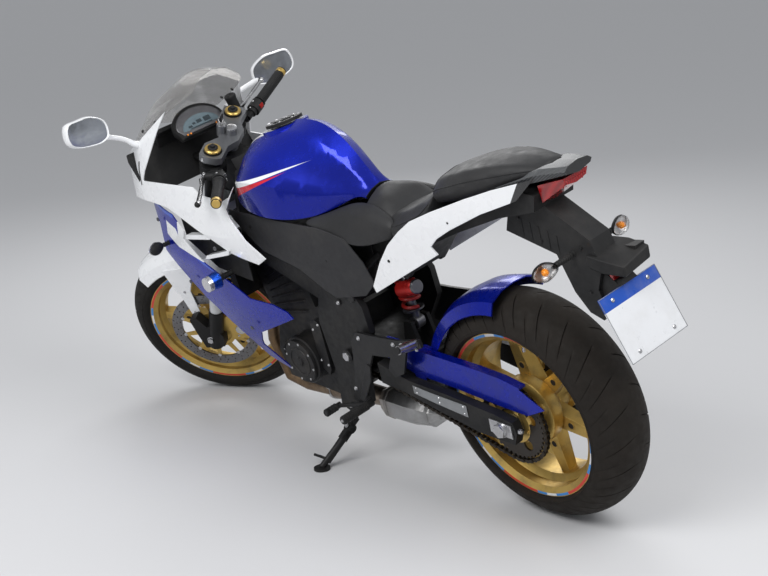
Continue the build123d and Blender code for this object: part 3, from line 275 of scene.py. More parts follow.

# Tank: white wedge over a red wedge on each flank, white band over the crown, darker blue painted low on the flanks
# as shade, black foot, and the rear end painted black as the shade in the gap before the seat
tank_blue = lacquer("tank_blue", BLUE_DEEP, BLUE)
# Painted shade: darker blue below z 918 mm, fading to the paint by z 946 mm.
below = tank_blue.span(tank_blue.z, 918.0, 946.0)
tank_color = tank_blue.mix(below, rgb(0.002, 0.010, 0.27), tank_blue.color)
white_wedge = tank_blue.inside([(1012, 864), (1018, 838), (960, 849), (628, 943)])
red_wedge = tank_blue.inside([(1018, 842), (1018, 796), (690, 921)])
side_only = tank_blue.span(tank_blue.math("ABSOLUTE", tank_blue.y), 60.0, 62.0)
tank_color = tank_blue.mix(tank_blue.math("MULTIPLY", red_wedge, side_only), tank_color, rgb(0.55, 0.015, 0.03))
tank_color = tank_blue.mix(tank_blue.math("MULTIPLY", white_wedge, side_only), tank_color, rgb(*WHITE))
crown = tank_blue.math("SUBTRACT", 1.0, side_only)
stripe = tank_blue.inside([(940, 960), (906, 1003), (803, 1030), (760, 1030), (821, 979), (906, 950)])
tank_color = tank_blue.mix(tank_blue.math("MULTIPLY", stripe, crown), tank_color, rgb(*WHITE))
wedges = tank_blue.math("MAXIMUM", red_wedge, white_wedge)
white_and_red_areas = tank_blue.math("MAXIMUM", tank_blue.math("MULTIPLY", wedges, side_only),
                           tank_blue.math("MULTIPLY", stripe, crown))
# The rear face is painted black as the shade in the gap before the seat; the foot is black too.
rear_gap_shade = tank_blue.span(tank_blue.x, 441.5, 442.5, 1.0, 0.0)
tank_foot = tank_blue.inside([(420, 500), (650, 500), (650, 745), (420, 822)])
tank_color = tank_blue.mix(tank_blue.math("MAXIMUM", rear_gap_shade, tank_foot), tank_color, rgb(*BLACK))
tank_blue.set(color=tank_color, metal=tank_blue.span(white_and_red_areas, 0.0, 1.0, 0.55, 0.0))

hugger_blue = lacquer("hugger_blue", BLUE_DEEP, BLUE)
hugger_blue.set(color=dusty(hugger_blue, hugger_blue.color, rgb(0.05, 0.05, 0.08), 0.3))


def wheel_gold(name, centre, steered):
    """Satin gold with rim tape in blue, red and white blocks between thin gold lips."""
    finish = Finish(name, steered)
    tone = finish.noise(30.0, 4.0)
    base = finish.mix(tone, rgb(0.50, 0.33, 0.085), rgb(0.66, 0.46, 0.14))
    base = dusty(finish, base, rgb(0.08, 0.06, 0.045), 0.55, 60.0)
    r, angle = finish.radius(centre)
    # the tape lies between radii of 222 and 229 mm on the rim's sides
    ring = finish.math("MULTIPLY", finish.span(r, 221.5, 222.2), finish.span(r, 229.2, 228.5))
    side = finish.span(finish.math("ABSOLUTE", finish.y), 40.0, 42.0)
    turn = finish.math("FRACT", finish.math("MULTIPLY", angle, 3.0 / math.pi))
    red = finish.span(turn, 0.495, 0.5)
    tape = finish.mix(red, rgb(0.05, 0.25, 0.62), rgb(0.62, 0.05, 0.03))
    white = finish.math("MULTIPLY", finish.span(turn, 0.20, 0.21), finish.span(turn, 0.36, 0.35))
    tape = finish.mix(white, tape, rgb(0.75, 0.76, 0.76))
    mask = finish.math("MULTIPLY", ring, side)
    finish.set(color=finish.mix(mask, base, tape), metal=finish.span(mask, 0.0, 1.0, 0.8, 0.1),
               rough=finish.uneven(12.0, 0.30, 0.46),
               normal=finish.bump(finish.noise(1.6, 2.0), 0.03))
    return finish


rear_gold = wheel_gold("rear_wheel_gold", REAR_AXLE, False)
front_gold = wheel_gold("front_wheel_gold", FRONT_AXLE, True)
plain_gold, plain_gold_steered = (worn(name, GOLD, metal=0.8, amount=0.2, low=0.28, high=0.42, steered=steered)
                                  for name, steered in (("plain_gold", False), ("plain_gold_steered", True)))


def rubber(name, color, dust, steered):
    """Matt tyre rubber with road dust."""
    finish = Finish(name, steered)
    tone = finish.noise(55.0, 6.0, 0.7)
    base = finish.mix(tone, rgb(*color), rgb(*dust))
    fine = finish.noise(2.2, 3.0, 0.6)
    finish.set(color=base, rough=finish.uneven(20.0, 0.62, 0.85), spec=0.2,
               normal=finish.bump(fine, 0.12))
    return finish


rear_rubber = rubber("rear_rubber", (0.009, 0.008, 0.007), (0.024, 0.019, 0.015), False)
front_rubber = rubber("front_rubber", (0.008, 0.0075, 0.007), (0.020, 0.018, 0.016), True)
black_metal = worn("black_metal", BLACK, amount=0.22, metal=0.3, low=0.38, high=0.55, grain=0.03)
black_metal_steered = worn("black_metal_steered", BLACK, amount=0.15, metal=0.3, low=0.34, high=0.5, grain=0.02,
                           steered=True)
plastic = worn("black_plastic", PLASTIC, amount=0.2, low=0.48, high=0.66, grain=0.06, grain_size=0.9)
plastic_steered = worn("black_plastic_steered", PLASTIC, amount=0.1, low=0.45, high=0.6, grain=0.05,
                       grain_size=0.9, steered=True)
dark_cover = worn("dark_cover", (0.030, 0.030, 0.032), amount=0.25, low=0.5, high=0.66, grain=0.07, grain_size=0.8)
engine_dark = worn("engine_dark", (0.022, 0.022, 0.023), dust=(0.08, 0.07, 0.06), amount=0.4, metal=0.5, low=0.38,
                   high=0.6, grain=0.12, grain_size=1.6)
bracket_dark = worn("bracket_dark", (0.030, 0.030, 0.031), amount=0.2, metal=0.6, low=0.35, high=0.5, grain=0.03)
clamp_grey = worn("clamp_grey", (0.20, 0.205, 0.215), amount=0.12, metal=0.75, low=0.34, high=0.46, grain=0.03,
                  steered=True)
silver = worn("silver_metal", (0.55, 0.55, 0.56), amount=0.25, metal=1.0, low=0.24, high=0.42)
silver_steered = worn("silver_metal_steered", (0.58, 0.58, 0.59), amount=0.12, metal=1.0, low=0.2, high=0.34,
                      steered=True)
fork_bright = worn("fork_bright", (0.60, 0.61, 0.62), amount=0.05, metal=0.3, low=0.28, high=0.36, steered=True)
chain_steel = worn("chain_steel", (0.050, 0.042, 0.034), dust=(0.02, 0.018, 0.016), amount=0.5, metal=0.85,
                   low=0.35, high=0.55)
sprocket_dark = worn("sprocket_dark", (0.055, 0.048, 0.042), amount=0.4, metal=0.8, low=0.35, high=0.5)
plate_grey = worn("scuff_plate_grey", (0.30, 0.31, 0.32), amount=0.3, metal=0.7, low=0.3, high=0.45)
red_anodised = worn("red_anodised", (0.45, 0.018, 0.015), amount=0.15, metal=0.55, low=0.28, high=0.4)
gunmetal = worn("gunmetal", (0.16, 0.16, 0.17), amount=0.3, metal=0.9, low=0.3, high=0.45)
spring_red = worn("spring_paint", (0.30, 0.012, 0.010), amount=0.3, low=0.3, high=0.45)
bulb_amber = worn("bulb_amber", (0.85, 0.27, 0.02), amount=0.0, low=0.15, high=0.2)
reflector_red = worn("reflector_red", (0.35, 0.010, 0.012), amount=0.1, low=0.15, high=0.25, coat=0.6)
key_metal = worn("key_metal", (0.50, 0.49, 0.46), amount=0.1, metal=1.0, low=0.22, high=0.35)


def brushed(name, color, centre, steered):
    """Ground steel with rings about an axle."""
    finish = Finish(name, steered)
    r, angle = finish.radius(centre)
    streak = finish.nt.nodes.new("ShaderNodeCombineXYZ")
    finish.feed(streak.inputs[0], finish.math("MULTIPLY", r, 1.6))
    finish.feed(streak.inputs[1], finish.math("MULTIPLY", angle, 6.0))
    rings = finish.noise(2.0, 4.0, 0.6, streak.outputs[0])
    color = finish.mix(rings, *shades(color, 0.7, 1.2))
    finish.set(color=dusty(finish, color, rgb(0.10, 0.07, 0.05), 0.4), metal=1.0,
               rough=finish.span(rings, 0.3, 0.7, 0.24, 0.44), normal=finish.bump(rings, 0.03))
    return finish


rear_disc_steel = brushed("rear_disc_steel", (0.30, 0.30, 0.31), REAR_AXLE, False)
front_disc_steel = brushed("front_disc_steel", (0.22, 0.22, 0.23), FRONT_AXLE, True)

# Heat-tinted headers, and the satin silencer with a brown haze at its joint
header_steel = Finish("header_steel")
heat = header_steel.span(header_steel.x, 640.0, 1050.0)
tint = header_steel.mix(heat, rgb(0.36, 0.30, 0.24), rgb(0.20, 0.13, 0.07))
soot = header_steel.span(header_steel.noise(24.0, 5.0, 0.7), 0.4, 0.7, 0.0, 0.6)
tint = header_steel.mix(soot, tint, rgb(0.07, 0.05, 0.045))
header_steel.set(color=tint, metal=0.9, rough=header_steel.uneven(14.0, 0.34, 0.58),
                 normal=header_steel.bump(header_steel.noise(1.8, 3.0), 0.06))
silencer_metal = Finish("silencer_metal")
haze = silencer_metal.span(silencer_metal.x, 560.0, 636.0, 0.0, 0.8)
can = silencer_metal.mix(silencer_metal.noise(50.0, 4.0), rgb(0.42, 0.42, 0.42), rgb(0.58, 0.58, 0.58))
can = silencer_metal.mix(haze, can, rgb(0.30, 0.24, 0.18))
silencer_metal.set(color=dusty(silencer_metal, can, rgb(0.12, 0.11, 0.10), 0.45), metal=0.9,
                   rough=silencer_metal.uneven(9.0, 0.28, 0.48),
                   normal=silencer_metal.bump(silencer_metal.noise(4.0, 3.0), 0.05))

# Seat vinyl
vinyl = Finish("seat_vinyl")
grain_height = vinyl.span(vinyl.cells(1.5), 0.0, 0.8)
vinyl_tone = vinyl.mix(vinyl.noise(70.0, 5.0), rgb(0.016, 0.016, 0.017), rgb(0.030, 0.030, 0.031))
vinyl.set(color=dusty(vinyl, vinyl_tone, rgb(0.06, 0.057, 0.054), 0.2, 120.0),
          rough=vinyl.uneven(26.0, 0.46, 0.62), spec=0.3, normal=vinyl.bump(grain_height, 0.10))
thread = worn("seat_piping", (0.022, 0.022, 0.023), amount=0.1, low=0.5, high=0.65, grain=0.08)

# Woven look of the tail cover
carbon = Finish("carbon_look")
warp = carbon.math("SINE", carbon.math("MULTIPLY", carbon.math("ADD", carbon.x, carbon.y), 1.15))
weft = carbon.math("SINE", carbon.math("MULTIPLY", carbon.math("SUBTRACT", carbon.x, carbon.y), 1.15))
weave = carbon.span(carbon.math("MULTIPLY", warp, weft), -0.2, 0.2)
carbon.set(color=carbon.mix(weave, rgb(0.012, 0.012, 0.013), rgb(0.10, 0.105, 0.11)), coat=0.15, coat_rough=0.2,
           rough=carbon.span(weave, 0.0, 1.0, 0.42, 0.56), normal=carbon.bump(weave, 0.06))

# Clear parts
smoked = Finish("screen_clear")
smoked.set(color=smoked.mix(smoked.noise(80.0, 3.0), rgb(0.34, 0.32, 0.30), rgb(0.42, 0.40, 0.37)),
           clear=0.75, ior=1.2, rough=smoked.span(smoked.noise(30.0, 5.0), 0.35, 0.75, 0.03, 0.10),
           alpha=smoked.uneven(60.0, 0.36, 0.44, 3.0))
clear_lens = Finish("clear_lens")
rib = clear_lens.math("SINE", clear_lens.math("MULTIPLY", clear_lens.z, 1.3))
clear_lens.set(color=clear_lens.mix(clear_lens.noise(20.0), rgb(0.90, 0.88, 0.84), rgb(0.96, 0.95, 0.93)),
               clear=1.0, ior=1.18, rough=clear_lens.span(rib, -1.0, 1.0, 0.03, 0.12),
               alpha=clear_lens.span(rib, -1.0, 1.0, 0.42, 0.55), normal=clear_lens.bump(rib, 0.25))
red_lens = Finish("red_lens")
red_rib = red_lens.math("SINE", red_lens.math("MULTIPLY", red_lens.y, 0.9))
red_lens.set(color=red_lens.mix(red_lens.span(red_rib, -1.0, 1.0), rgb(0.26, 0.002, 0.004), rgb(0.46, 0.008, 0.010)),
             clear=0.2, ior=1.35, rough=red_lens.uneven(20.0, 0.05, 0.16), coat=1.0,
             normal=red_lens.bump(red_rib, 0.25))
mirror_glass = Finish("mirror_glass")
mirror_glass.set(color=mirror_glass.mix(mirror_glass.noise(60.0), rgb(0.30, 0.32, 0.35), rgb(0.38, 0.40, 0.43)),
                 metal=0.7, rough=mirror_glass.span(mirror_glass.noise(18.0, 5.0), 0.4, 0.8, 0.10, 0.24))
lcd = Finish("display_glass")
lcd.set(color=lcd.mix(lcd.noise(40.0), rgb(0.10, 0.15, 0.18), rgb(0.17, 0.23, 0.26)), coat=1.0, coat_rough=0.04,
        rough=lcd.uneven(12.0, 0.12, 0.24))

# Crash bobbins: black stem, blue body and silver end
bobbin_finish = Finish("bobbin_finish")
out = bobbin_finish.math("ABSOLUTE", bobbin_finish.y)
blue_part = bobbin_finish.span(out, 243.0, 244.0)
silver_part = bobbin_finish.span(out, 270.0, 271.0)
bobbin_color = bobbin_finish.mix(blue_part, rgb(0.02, 0.02, 0.02), rgb(0.02, 0.09, 0.55))
bobbin_color = bobbin_finish.mix(silver_part, bobbin_color, rgb(0.66, 0.66, 0.68))
bobbin_finish.set(color=bobbin_color, metal=blue_part,
                  rough=bobbin_finish.uneven(8.0, 0.22, 0.34))

# Blank number plate: white field under a blue band
PLATE_TILT = math.radians(25.0)
PLATE_AT = Vector((-387.3, 0.0, 643.8))
PLATE_HEAD = 77.0
BAND_HEIGHT = 34.0
plate_finish = Finish("number_plate_finish")
plate_up = plate_finish.math("MULTIPLY_ADD", plate_finish.x, math.sin(PLATE_TILT),
                             plate_finish.math("MULTIPLY", plate_finish.z, math.cos(PLATE_TILT)))
band_low = math.sin(PLATE_TILT) * PLATE_AT.x + math.cos(PLATE_TILT) * PLATE_AT.z + PLATE_HEAD - BAND_HEIGHT
band_mask = plate_finish.span(plate_up, band_low - 0.4, band_low + 0.2)
plate_color = plate_finish.mix(band_mask, rgb(0.74, 0.75, 0.77), rgb(0.006, 0.07, 0.42))
plate_finish.set(color=dusty(plate_finish, plate_color, rgb(0.45, 0.43, 0.40), 0.22), metal=0.1,
                 rough=plate_finish.uneven(20.0, 0.26, 0.42))


# Geometry in upright millimetres
class Shape:
    """Vertices and faces gathered from simple sweeps."""

    def __init__(self):
        self.verts = []
        self.faces = []

    def add(self, verts, faces):
        """Takes in vertices and the faces between them."""
        start = len(self.verts)
        self.verts.extend(Vector(v) for v in verts)
        self.faces.extend([tuple(i + start for i in face) for face in faces])
        return self

    def loft(self, loops, caps=True, around=False):
        """Skin over loops of equal length, with end caps or closed around."""
        n = len(loops[0])
        rows = len(loops)
        faces = []
        for i in range(rows if around else rows - 1):
            j = (i + 1) % rows
            for k in range(n):
                m = (k + 1) % n
                faces.append((i * n + k, i * n + m, j * n + m, j * n + k))
        if caps and not around:
            faces.append(tuple(range(n)))
            faces.append(tuple((rows - 1) * n + k for k in reversed(range(n))))
        return self.add([v for loop in loops for v in loop], faces)

    def tube(self, points, radius, sides=12, caps=True, closed=False):
        """Round bar along points, with one radius or a list of them."""
        points = [Vector(p) for p in points]
        count = len(points)
        radii = radius if isinstance(radius, (list, tuple)) else [radius] * count
        loops = []
        side = None
        for i, p in enumerate(points):
            before = points[i - 1] if (i > 0 or closed) else p
            after = points[(i + 1) % count] if (i < count - 1 or closed) else p
            along = (after - before).normalized()
            if side is None:
                side = along.orthogonal().normalized()
            side = (side - along * side.dot(along)).normalized()
            up = along.cross(side)
            loops.append([p + (side * math.cos(a) + up * math.sin(a)) * radii[i]
                          for a in (math.tau * k / sides for k in range(sides))])
        return self.loft(loops, caps, closed)

    def rod(self, start, end, radius, end_radius=None, sides=20):
        """Straight round bar."""
        return self.tube([start, end], [radius, radius if end_radius is None else end_radius], sides)

    def spin(self, profile, centre, axis=(0, 1, 0), steps=48):
        """Closed profile of (radius, height along axis) turned about the axis through centre."""
        line = Vector(axis).normalized()
        u = line.orthogonal().normalized()
        v = line.cross(u)
        loops = []
        for i in range(steps):
            a = math.tau * i / steps
            out = u * math.cos(a) + v * math.sin(a)
            loops.append([Vector(centre) + out * r + line * h for r, h in profile])
        return self.loft(loops, False, True)

    def drum(self, centre, axis, radius, height, chamfer=1.0, steps=28):
        """Round plate with broken edges, standing on centre along axis."""
        line = Vector(axis).normalized()
        u = line.orthogonal().normalized()
        v = line.cross(u)
        loops = []
        for r, h in ((radius, 0.0), (radius, height - chamfer), (radius - chamfer, height)):
            loops.append([Vector(centre) + line * h + (u * math.cos(a) + v * math.sin(a)) * r
                          for a in (math.tau * k / steps for k in range(steps))])
        return self.loft(loops)

    def hexagon(self, centre, axis, across, height):
        """Six-sided head with its width across flats."""
        return self.drum(centre, axis, across / math.sqrt(3), height, 0.6, 6)

    def bolt(self, centre, axis, size=5.0):
        """Flanged hexagon bolt head."""
        line = Vector(axis).normalized()
        self.drum(centre, line, size * 1.15, size * 0.25, size * 0.08, 18)
        return self.hexagon(Vector(centre) + line * size * 0.25, line, size * 1.6, size * 0.6)

    def prism(self, points, y0, y1):
        """Side-view polygon (x, z) between two widths."""
        return self.loft([[(x, y0, z) for x, z in points], [(x, y1, z) for x, z in points]])

    def mirrored(self):
        """The same pieces again on the other side."""
        return self.add([(v.x, -v.y, v.z) for v in self.verts], [tuple(reversed(f)) for f in self.faces])


SHARP = math.radians(34.0)


def make(name, body, finish, shape, steered=False, bevel=0.0, sharp=SHARP):
    """Object in the world from a shape in upright millimetres."""
    pose = STEERED if steered else UPRIGHT
    mesh = bpy.data.meshes.new(name)
    mesh.from_pydata([(pose @ v) * MM for v in shape.verts], [], shape.faces)
    bm = bmesh.new()
    bm.from_mesh(mesh)
    bmesh.ops.recalc_face_normals(bm, faces=bm.faces)
    bm.to_mesh(mesh)
    bm.free()
    mesh.shade_smooth()
    mesh.set_sharp_from_angle(angle=sharp)
    obj = bpy.data.objects.new(name, mesh)
    bpy.context.scene.collection.objects.link(obj)
    mesh.materials.append(finish.mat)
    if bevel > 0.0:
        edge_round(obj, bevel)
    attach(obj, body)
    return obj


def edge_round(obj, width_mm):
    """Small rounded edge on every corner sharper than the shading limit."""
    mod = obj.modifiers.new("edge", "BEVEL")
    mod.width = width_mm * MM
    mod.segments = 2
    mod.limit_method = "ANGLE"
    mod.angle_limit = SHARP
    mod.harden_normals = True


def dress(node, finish, bevel=1.0):
    """Finish and softened edges for a CAD node that stays in view."""
    obj = NODES[node]
    obj.data.materials.clear()
    obj.data.materials.append(finish.mat)
    if "custom_normal" in obj.data.attributes:
        obj.data.attributes.remove(obj.data.attributes["custom_normal"])
    obj.data.shade_smooth()
    weld = obj.modifiers.new("weld", "WELD")
    weld.merge_threshold = 0.02 * MM
    smooth = obj.modifiers.new("smooth_faces", "NODES")
    smooth.node_group = SMOOTHER
    if bevel > 0.0:
        edge_round(obj, bevel)


def smoother():
    """Node group that shades flat only across corners sharper than the limit."""
    group = bpy.data.node_groups.new("shade_by_angle", "GeometryNodeTree")
    group.interface.new_socket("Geometry", in_out="INPUT", socket_type="NodeSocketGeometry")
    group.interface.new_socket("Geometry", in_out="OUTPUT", socket_type="NodeSocketGeometry")
    start = group.nodes.new("NodeGroupInput")
    end = group.nodes.new("NodeGroupOutput")
    angle = group.nodes.new("GeometryNodeInputMeshEdgeAngle")
    test = group.nodes.new("FunctionNodeCompare")
    test.operation = "LESS_THAN"
    test.inputs[1].default_value = SHARP
    edges = group.nodes.new("GeometryNodeSetShadeSmooth")
    edges.domain = "EDGE"
    group.links.new(angle.outputs["Unsigned Angle"], test.inputs[0])
    group.links.new(start.outputs[0], edges.inputs["Geometry"])
    group.links.new(test.outputs[0], edges.inputs["Shade Smooth"])
    group.links.new(edges.outputs["Geometry"], end.inputs[0])
    return group


SMOOTHER = smoother()

# CAD nodes that stay in view
DRESSED = (
    # node, finish, edge width in mm
    ("rear_rim", rear_gold, 3.0),
    ("rear_sprocket", sprocket_dark, 0.5),
    ("front_rim", front_gold, 3.0),
    ("fork_legs", black_metal_steered, 1.5),
    ("fork_tubes", fork_bright, 0.0),
    ("fork_clamps", clamp_grey, 2.5),
    ("handlebars", black_metal_steered, 1.5),
    ("front_mudguard", guard_white, 1.0),
    ("front_calipers", plain_gold_steered, 4.0),
    ("side_stand", black_metal, 1.5),
    ("filler_cap", black_metal, 1.5),
    ("frame", black_metal, 3.0),
    ("engine", engine_dark, 4.0),
    ("radiator", engine_dark, 2.0),
    ("exhaust_pipe", header_steel, 1.0),
    ("silencer", silencer_metal, 5.0),
    ("swingarm", black_metal, 4.0),
    ("rear_axle", silver, 0.8),
    ("rear_caliper", plain_gold, 4.0),
    ("rear_hugger", hugger_blue, 0.8),
    ("fuel_tank", tank_blue, 2.0),
    ("tail_panels", tail_white, 1.2),
    ("tail_cover", carbon, 1.5),
    ("tail_lamp", red_lens, 3.0),
    ("under_tail", plastic, 4.0),
    ("number_plate", plate_finish, 0.6),
    ("upper_fairing", fairing_white, 1.2),
    ("windscreen", smoked, 0.8),
    ("headlamp", clear_lens, 1.0),
    ("side_fairings", side_blue, 1.2),
    ("side_covers", dark_cover, 1.2),
    ("footrests", bracket_dark, 2.0),
    ("crash_bobbins", bobbin_finish, 2.0),
    ("hand_controls", plastic_steered, 1.5),
)
for node, finish, bevel in DRESSED:
    dress(node, finish, bevel)


# Tyres with curved sipes
RIM_EDGE = 233.0
BEAD = 217.0
TREAD_LANES = 34
TREAD_REPEATS = 24
# Columns of one repeat as shares of it, and those of them that the two sipes sink
TREAD_COLUMNS = (0.0, 0.03, 0.045, 0.065, 0.08, 0.19, 0.30, 0.41, 0.50, 0.53, 0.545, 0.565, 0.58, 0.68, 0.79,
                 0.90)
FIRST_SIPE = (2, 3)
SECOND_SIPE = (10, 11)


def tyre(name, body, node, finish, centre, radius, crown, half, rim_half, depth, steered=False):
    """Round-crowned tyre: grid columns follow the sipes, so that each groove has clean edges."""
    crown_c = radius - crown
    top = math.asin(half / crown)
    shoulder_r = crown_c + math.sqrt(crown * crown - half * half)
    profile = []
    for i in range(TREAD_LANES + 1):
        share = 2.0 * i / TREAD_LANES - 1.0
        profile.append((crown_c + crown * math.cos(top * share), crown * math.sin(top * share), share))
    wall = []
    for k in (0.25, 0.5, 0.72, 0.88, 1.0):
        bulge = 5.0 * math.sin(math.pi * k) * (1.0 if k < 0.8 else 0.4)
        wall.append((shoulder_r + (RIM_EDGE - shoulder_r) * k, half + (rim_half - half) * k + bulge * 0.5, 2.0))
    bead = [(BEAD, rim_half - 6.5, 2.0)]
    right = [(r, -y, -t) for r, y, t in wall + bead]
    rows = list(reversed(right)) + profile + wall + bead
    verts = []
    count = len(rows)
    for p in range(TREAD_REPEATS):
        for c, cut in enumerate(TREAD_COLUMNS):
            for r, y, t in rows:
                u = min(1.0, abs(t))
                low = 0.0
                if abs(t) <= 1.0:
                    long_sipe, short_sipe = FIRST_SIPE, SECOND_SIPE
                    if t <= 0:
                        long_sipe, short_sipe = SECOND_SIPE, FIRST_SIPE
                    if c in long_sipe and 0.10 < u < 0.80:
                        low = depth * min(1.0, (u - 0.10) / 0.08, (0.80 - u) / 0.10)
                    if c in short_sipe and 0.48 < u < 0.95:
                        low = depth * 0.8 * min(1.0, (u - 0.48) / 0.08, (0.95 - u) / 0.08)
                a = math.tau * (p + cut + 0.95 * u ** 1.35) / TREAD_REPEATS
                verts.append((centre[0] + (r - low) * math.cos(a), y, centre[2] + (r - low) * math.sin(a)))
    shape = Shape().loft([verts[i:i + count] for i in range(0, len(verts), count)], around=True)
    for side in (-1, 1):
        for a in (top * 0.955, top * 0.985):
            r, y = crown_c + crown * math.cos(a), side * crown * math.sin(a)
            bead_ring = [(r + 0.9 * math.cos(b), y + 0.9 * math.sin(b)) for b in (math.pi * k / 3 for k in range(6))]
            shape.spin(bead_ring, centre, steps=120)
    obj = make(name, body, finish, shape, steered, sharp=math.radians(42))
    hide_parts(node)


tyre("rear_tyre_tread", "rear_wheel", "rear_tyre", rear_rubber, REAR_AXLE, 315.0, 97.0, 95.0, 80.0, 3.6)
tyre("front_tyre_tread", "front_wheel", "front_tyre", front_rubber, FRONT_AXLE, 300.0, 62.0, 60.0, 50.0, 3.0, True)


# Brake discs: drilled rings on gold carriers
def drilled_disc(shape, centre, y0, y1, r_out, r_in, rows, cells):
    """Flat ring of cells, every second one with an open eight-sided hole."""
    ring = []
    width = (r_out - r_in) / rows
    for row in range(rows):
        for i in range(cells):
            a0 = math.tau * (i + 0.5 * (row % 2)) / cells
            a1 = a0 + math.tau / cells
            ra, rb = r_in + row * width, r_in + (row + 1) * width
            am, rm = (a0 + a1) / 2, (ra + rb) / 2
            hole = min(width * 0.24, rm * (a1 - a0) * 0.3)
            if (i + row) % 2:
                hole = 0.0
            ring.append((a0, a1, ra, rb, am, rm, hole))
    verts = []
    faces = []
    for a0, a1, ra, rb, am, rm, hole in ring:
        outer = [(ra, a0), (ra, am), (ra, a1), (rm, a1), (rb, a1), (rb, am), (rb, a0), (rm, a0)]
        base = len(verts)
        for y in (y0, y1):
            for r, a in outer:
                verts.append((centre[0] + r * math.cos(a), y, centre[2] + r * math.sin(a)))
        if hole > 0.0:
            for y in (y0, y1):
                for k in range(8):
                    b = math.radians(225 + 45 * k)
                    r, a = rm + hole * math.sin(b), am + hole * math.cos(b) / rm
                    verts.append((centre[0] + r * math.cos(a), y, centre[2] + r * math.sin(a)))
            for k in range(8):
                m = (k + 1) % 8
                faces.append((base + k, base + m, base + 16 + m, base + 16 + k))
                faces.append((base + 8 + m, base + 8 + k, base + 24 + k, base + 24 + m))
                faces.append((base + 16 + k, base + 16 + m, base + 24 + m, base + 24 + k))
        else:
            faces.append(tuple(base + k for k in range(8)))
            faces.append(tuple(base + 8 + k for k in reversed(range(8))))
    shape.add(verts, faces)
    for r in (r_out, r_in):
        shape.spin([(r - 0.15, y0), (r + 0.15, y0), (r + 0.15, y1), (r - 0.15, y1)], centre, steps=96)


def carrier(shape, centre, y0, y1, r_in, r_hub, arms):
    """Star-shaped bell: a hub ring and its arms."""
    shape.spin([(r_hub - 13, y0), (r_hub, y0), (r_hub, y1), (r_hub - 13, y1)], centre, steps=64)
    for i in range(arms):
        a = math.tau * i / arms
        along = Vector((math.cos(a), 0, math.sin(a)))
        across = Vector((-math.sin(a), 0, math.cos(a)))
        loops = []
        for y in (y0, y1):
            loops.append([Vector(centre) + Vector((0, y, 0)) + along * r + across * w for r, w in (
                (r_hub - 4, -9), (r_in - 4, -6), (r_in - 4, 6), (r_hub - 4, 9))])
        shape.loft(loops)
    return shape


front_rings = Shape()
front_bells = Shape()
front_buttons = Shape()
for y in (-75.0, 70.0):
    drilled_disc(front_rings, FRONT_AXLE, y, y + 5.0, 148.0, 114.0, 3, 60)
    carrier(front_bells, FRONT_AXLE, y + 0.4, y + 4.6, 114.0, 70.0, 10)
    for i in range(10):
        a = math.tau * i / 10
        front_buttons.drum((FRONT_AXLE[0] + 113.0 * math.cos(a), y - 0.4, FRONT_AXLE[2] + 113.0 * math.sin(a)),
                           (0, 1, 0), 6.5, 5.8)
rings = make("front_disc_rings", "front_wheel", front_disc_steel, front_rings, True)
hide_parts("front_brake_discs")
make("front_disc_bells", "front_wheel", plain_gold_steered, front_bells, True, 0.5)
make("front_disc_buttons", "front_wheel", silver_steered, front_buttons, True)
rear_ring = Shape()
drilled_disc(rear_ring, REAR_AXLE, -79.0, -74.0, 120.0, 92.0, 2, 56)
ring = make("rear_disc_ring", "rear_wheel", rear_disc_steel, rear_ring)
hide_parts("rear_brake_disc")
rear_bell = carrier(Shape(), REAR_AXLE, -78.6, -74.4, 92.0, 58.0, 6)
for i in range(6):
    a = math.tau * i / 6
    rear_bell.bolt((52.0 * math.cos(a), -78.6, REAR_AXLE[2] + 52.0 * math.sin(a)), (0, -1, 0), 5.0)
make("rear_disc_bell", "rear_wheel", black_metal, rear_bell)

# Gold sprocket carrier with its nuts, and the valve stems
carrier_shape = Shape()
carrier_shape.spin([(40, 104.8), (62, 104.8), (58, 111.8), (40, 111.8)], REAR_AXLE)
for i in range(5):
    a = math.radians(56 + 72 * i)
    carrier_shape.bolt((52.08 * math.cos(a), 111.8, REAR_AXLE[2] + 52.08 * math.sin(a)), (0, 1, 0), 5.5)
make("sprocket_carrier", "rear_wheel", plain_gold, carrier_shape, bevel=0.8)
rear_valve = Shape().rod((0, 20, 505), (0, 24, 480), 4.0, 3.0).rod((0, 24, 481), (0, 25, 471), 4.2)
make("rear_valve", "rear_wheel", silver, rear_valve)
front_valve = Shape().rod((WHEELBASE, 8, 490), (WHEELBASE, 10, 466), 4.0, 3.0)
front_valve.rod((WHEELBASE, 10, 467), (WHEELBASE, 10, 458), 4.2)
make("front_valve", "front_wheel", silver_steered, front_valve, True)

# Round recesses on the wheel arms, halfway between an arm's foot and its end (radii in mm): gold lips round black
# discs, which are painted shade in the holes
ARM_FOOT = 30.0
ARM_END = 196.0
for centre, face_y, steered, tag in ((REAR_AXLE, 19.8, False, "rear"), (FRONT_AXLE, 17.7, True, "front")):
    recess_shade = Shape()
    lip = Shape()
    for root_deg in (225.0, 105.0, 345.0):
        for side in (-1, 1):
            a0, a1 = math.radians(root_deg + side * 10), math.radians(root_deg + side * 30.0)
            at_x = centre[0] + (ARM_FOOT * math.cos(a0) + ARM_END * math.cos(a1)) / 2
            at_z = centre[2] + (ARM_FOOT * math.sin(a0) + ARM_END * math.sin(a1)) / 2
            for face in (-1, 1):
                at = (at_x, face * face_y, at_z)
                lip.spin([(8.2, -1.5), (11.0, -1.5), (10.2, 0.9), (8.6, 0.9)], at, (0, face, 0), 28)
                recess_shade.spin([(0.3, -0.5), (8.6, -0.5), (8.6, 0.25), (0.3, 0.25)], at, (0, face, 0), 28)
    gold, black = (plain_gold_steered, plastic_steered) if steered else (plain_gold, plastic)
    make(tag + "_arm_lips", tag + "_wheel", gold, lip, steered)
    make(tag + "_arm_recess_shade", tag + "_wheel", black, recess_shade, steered)

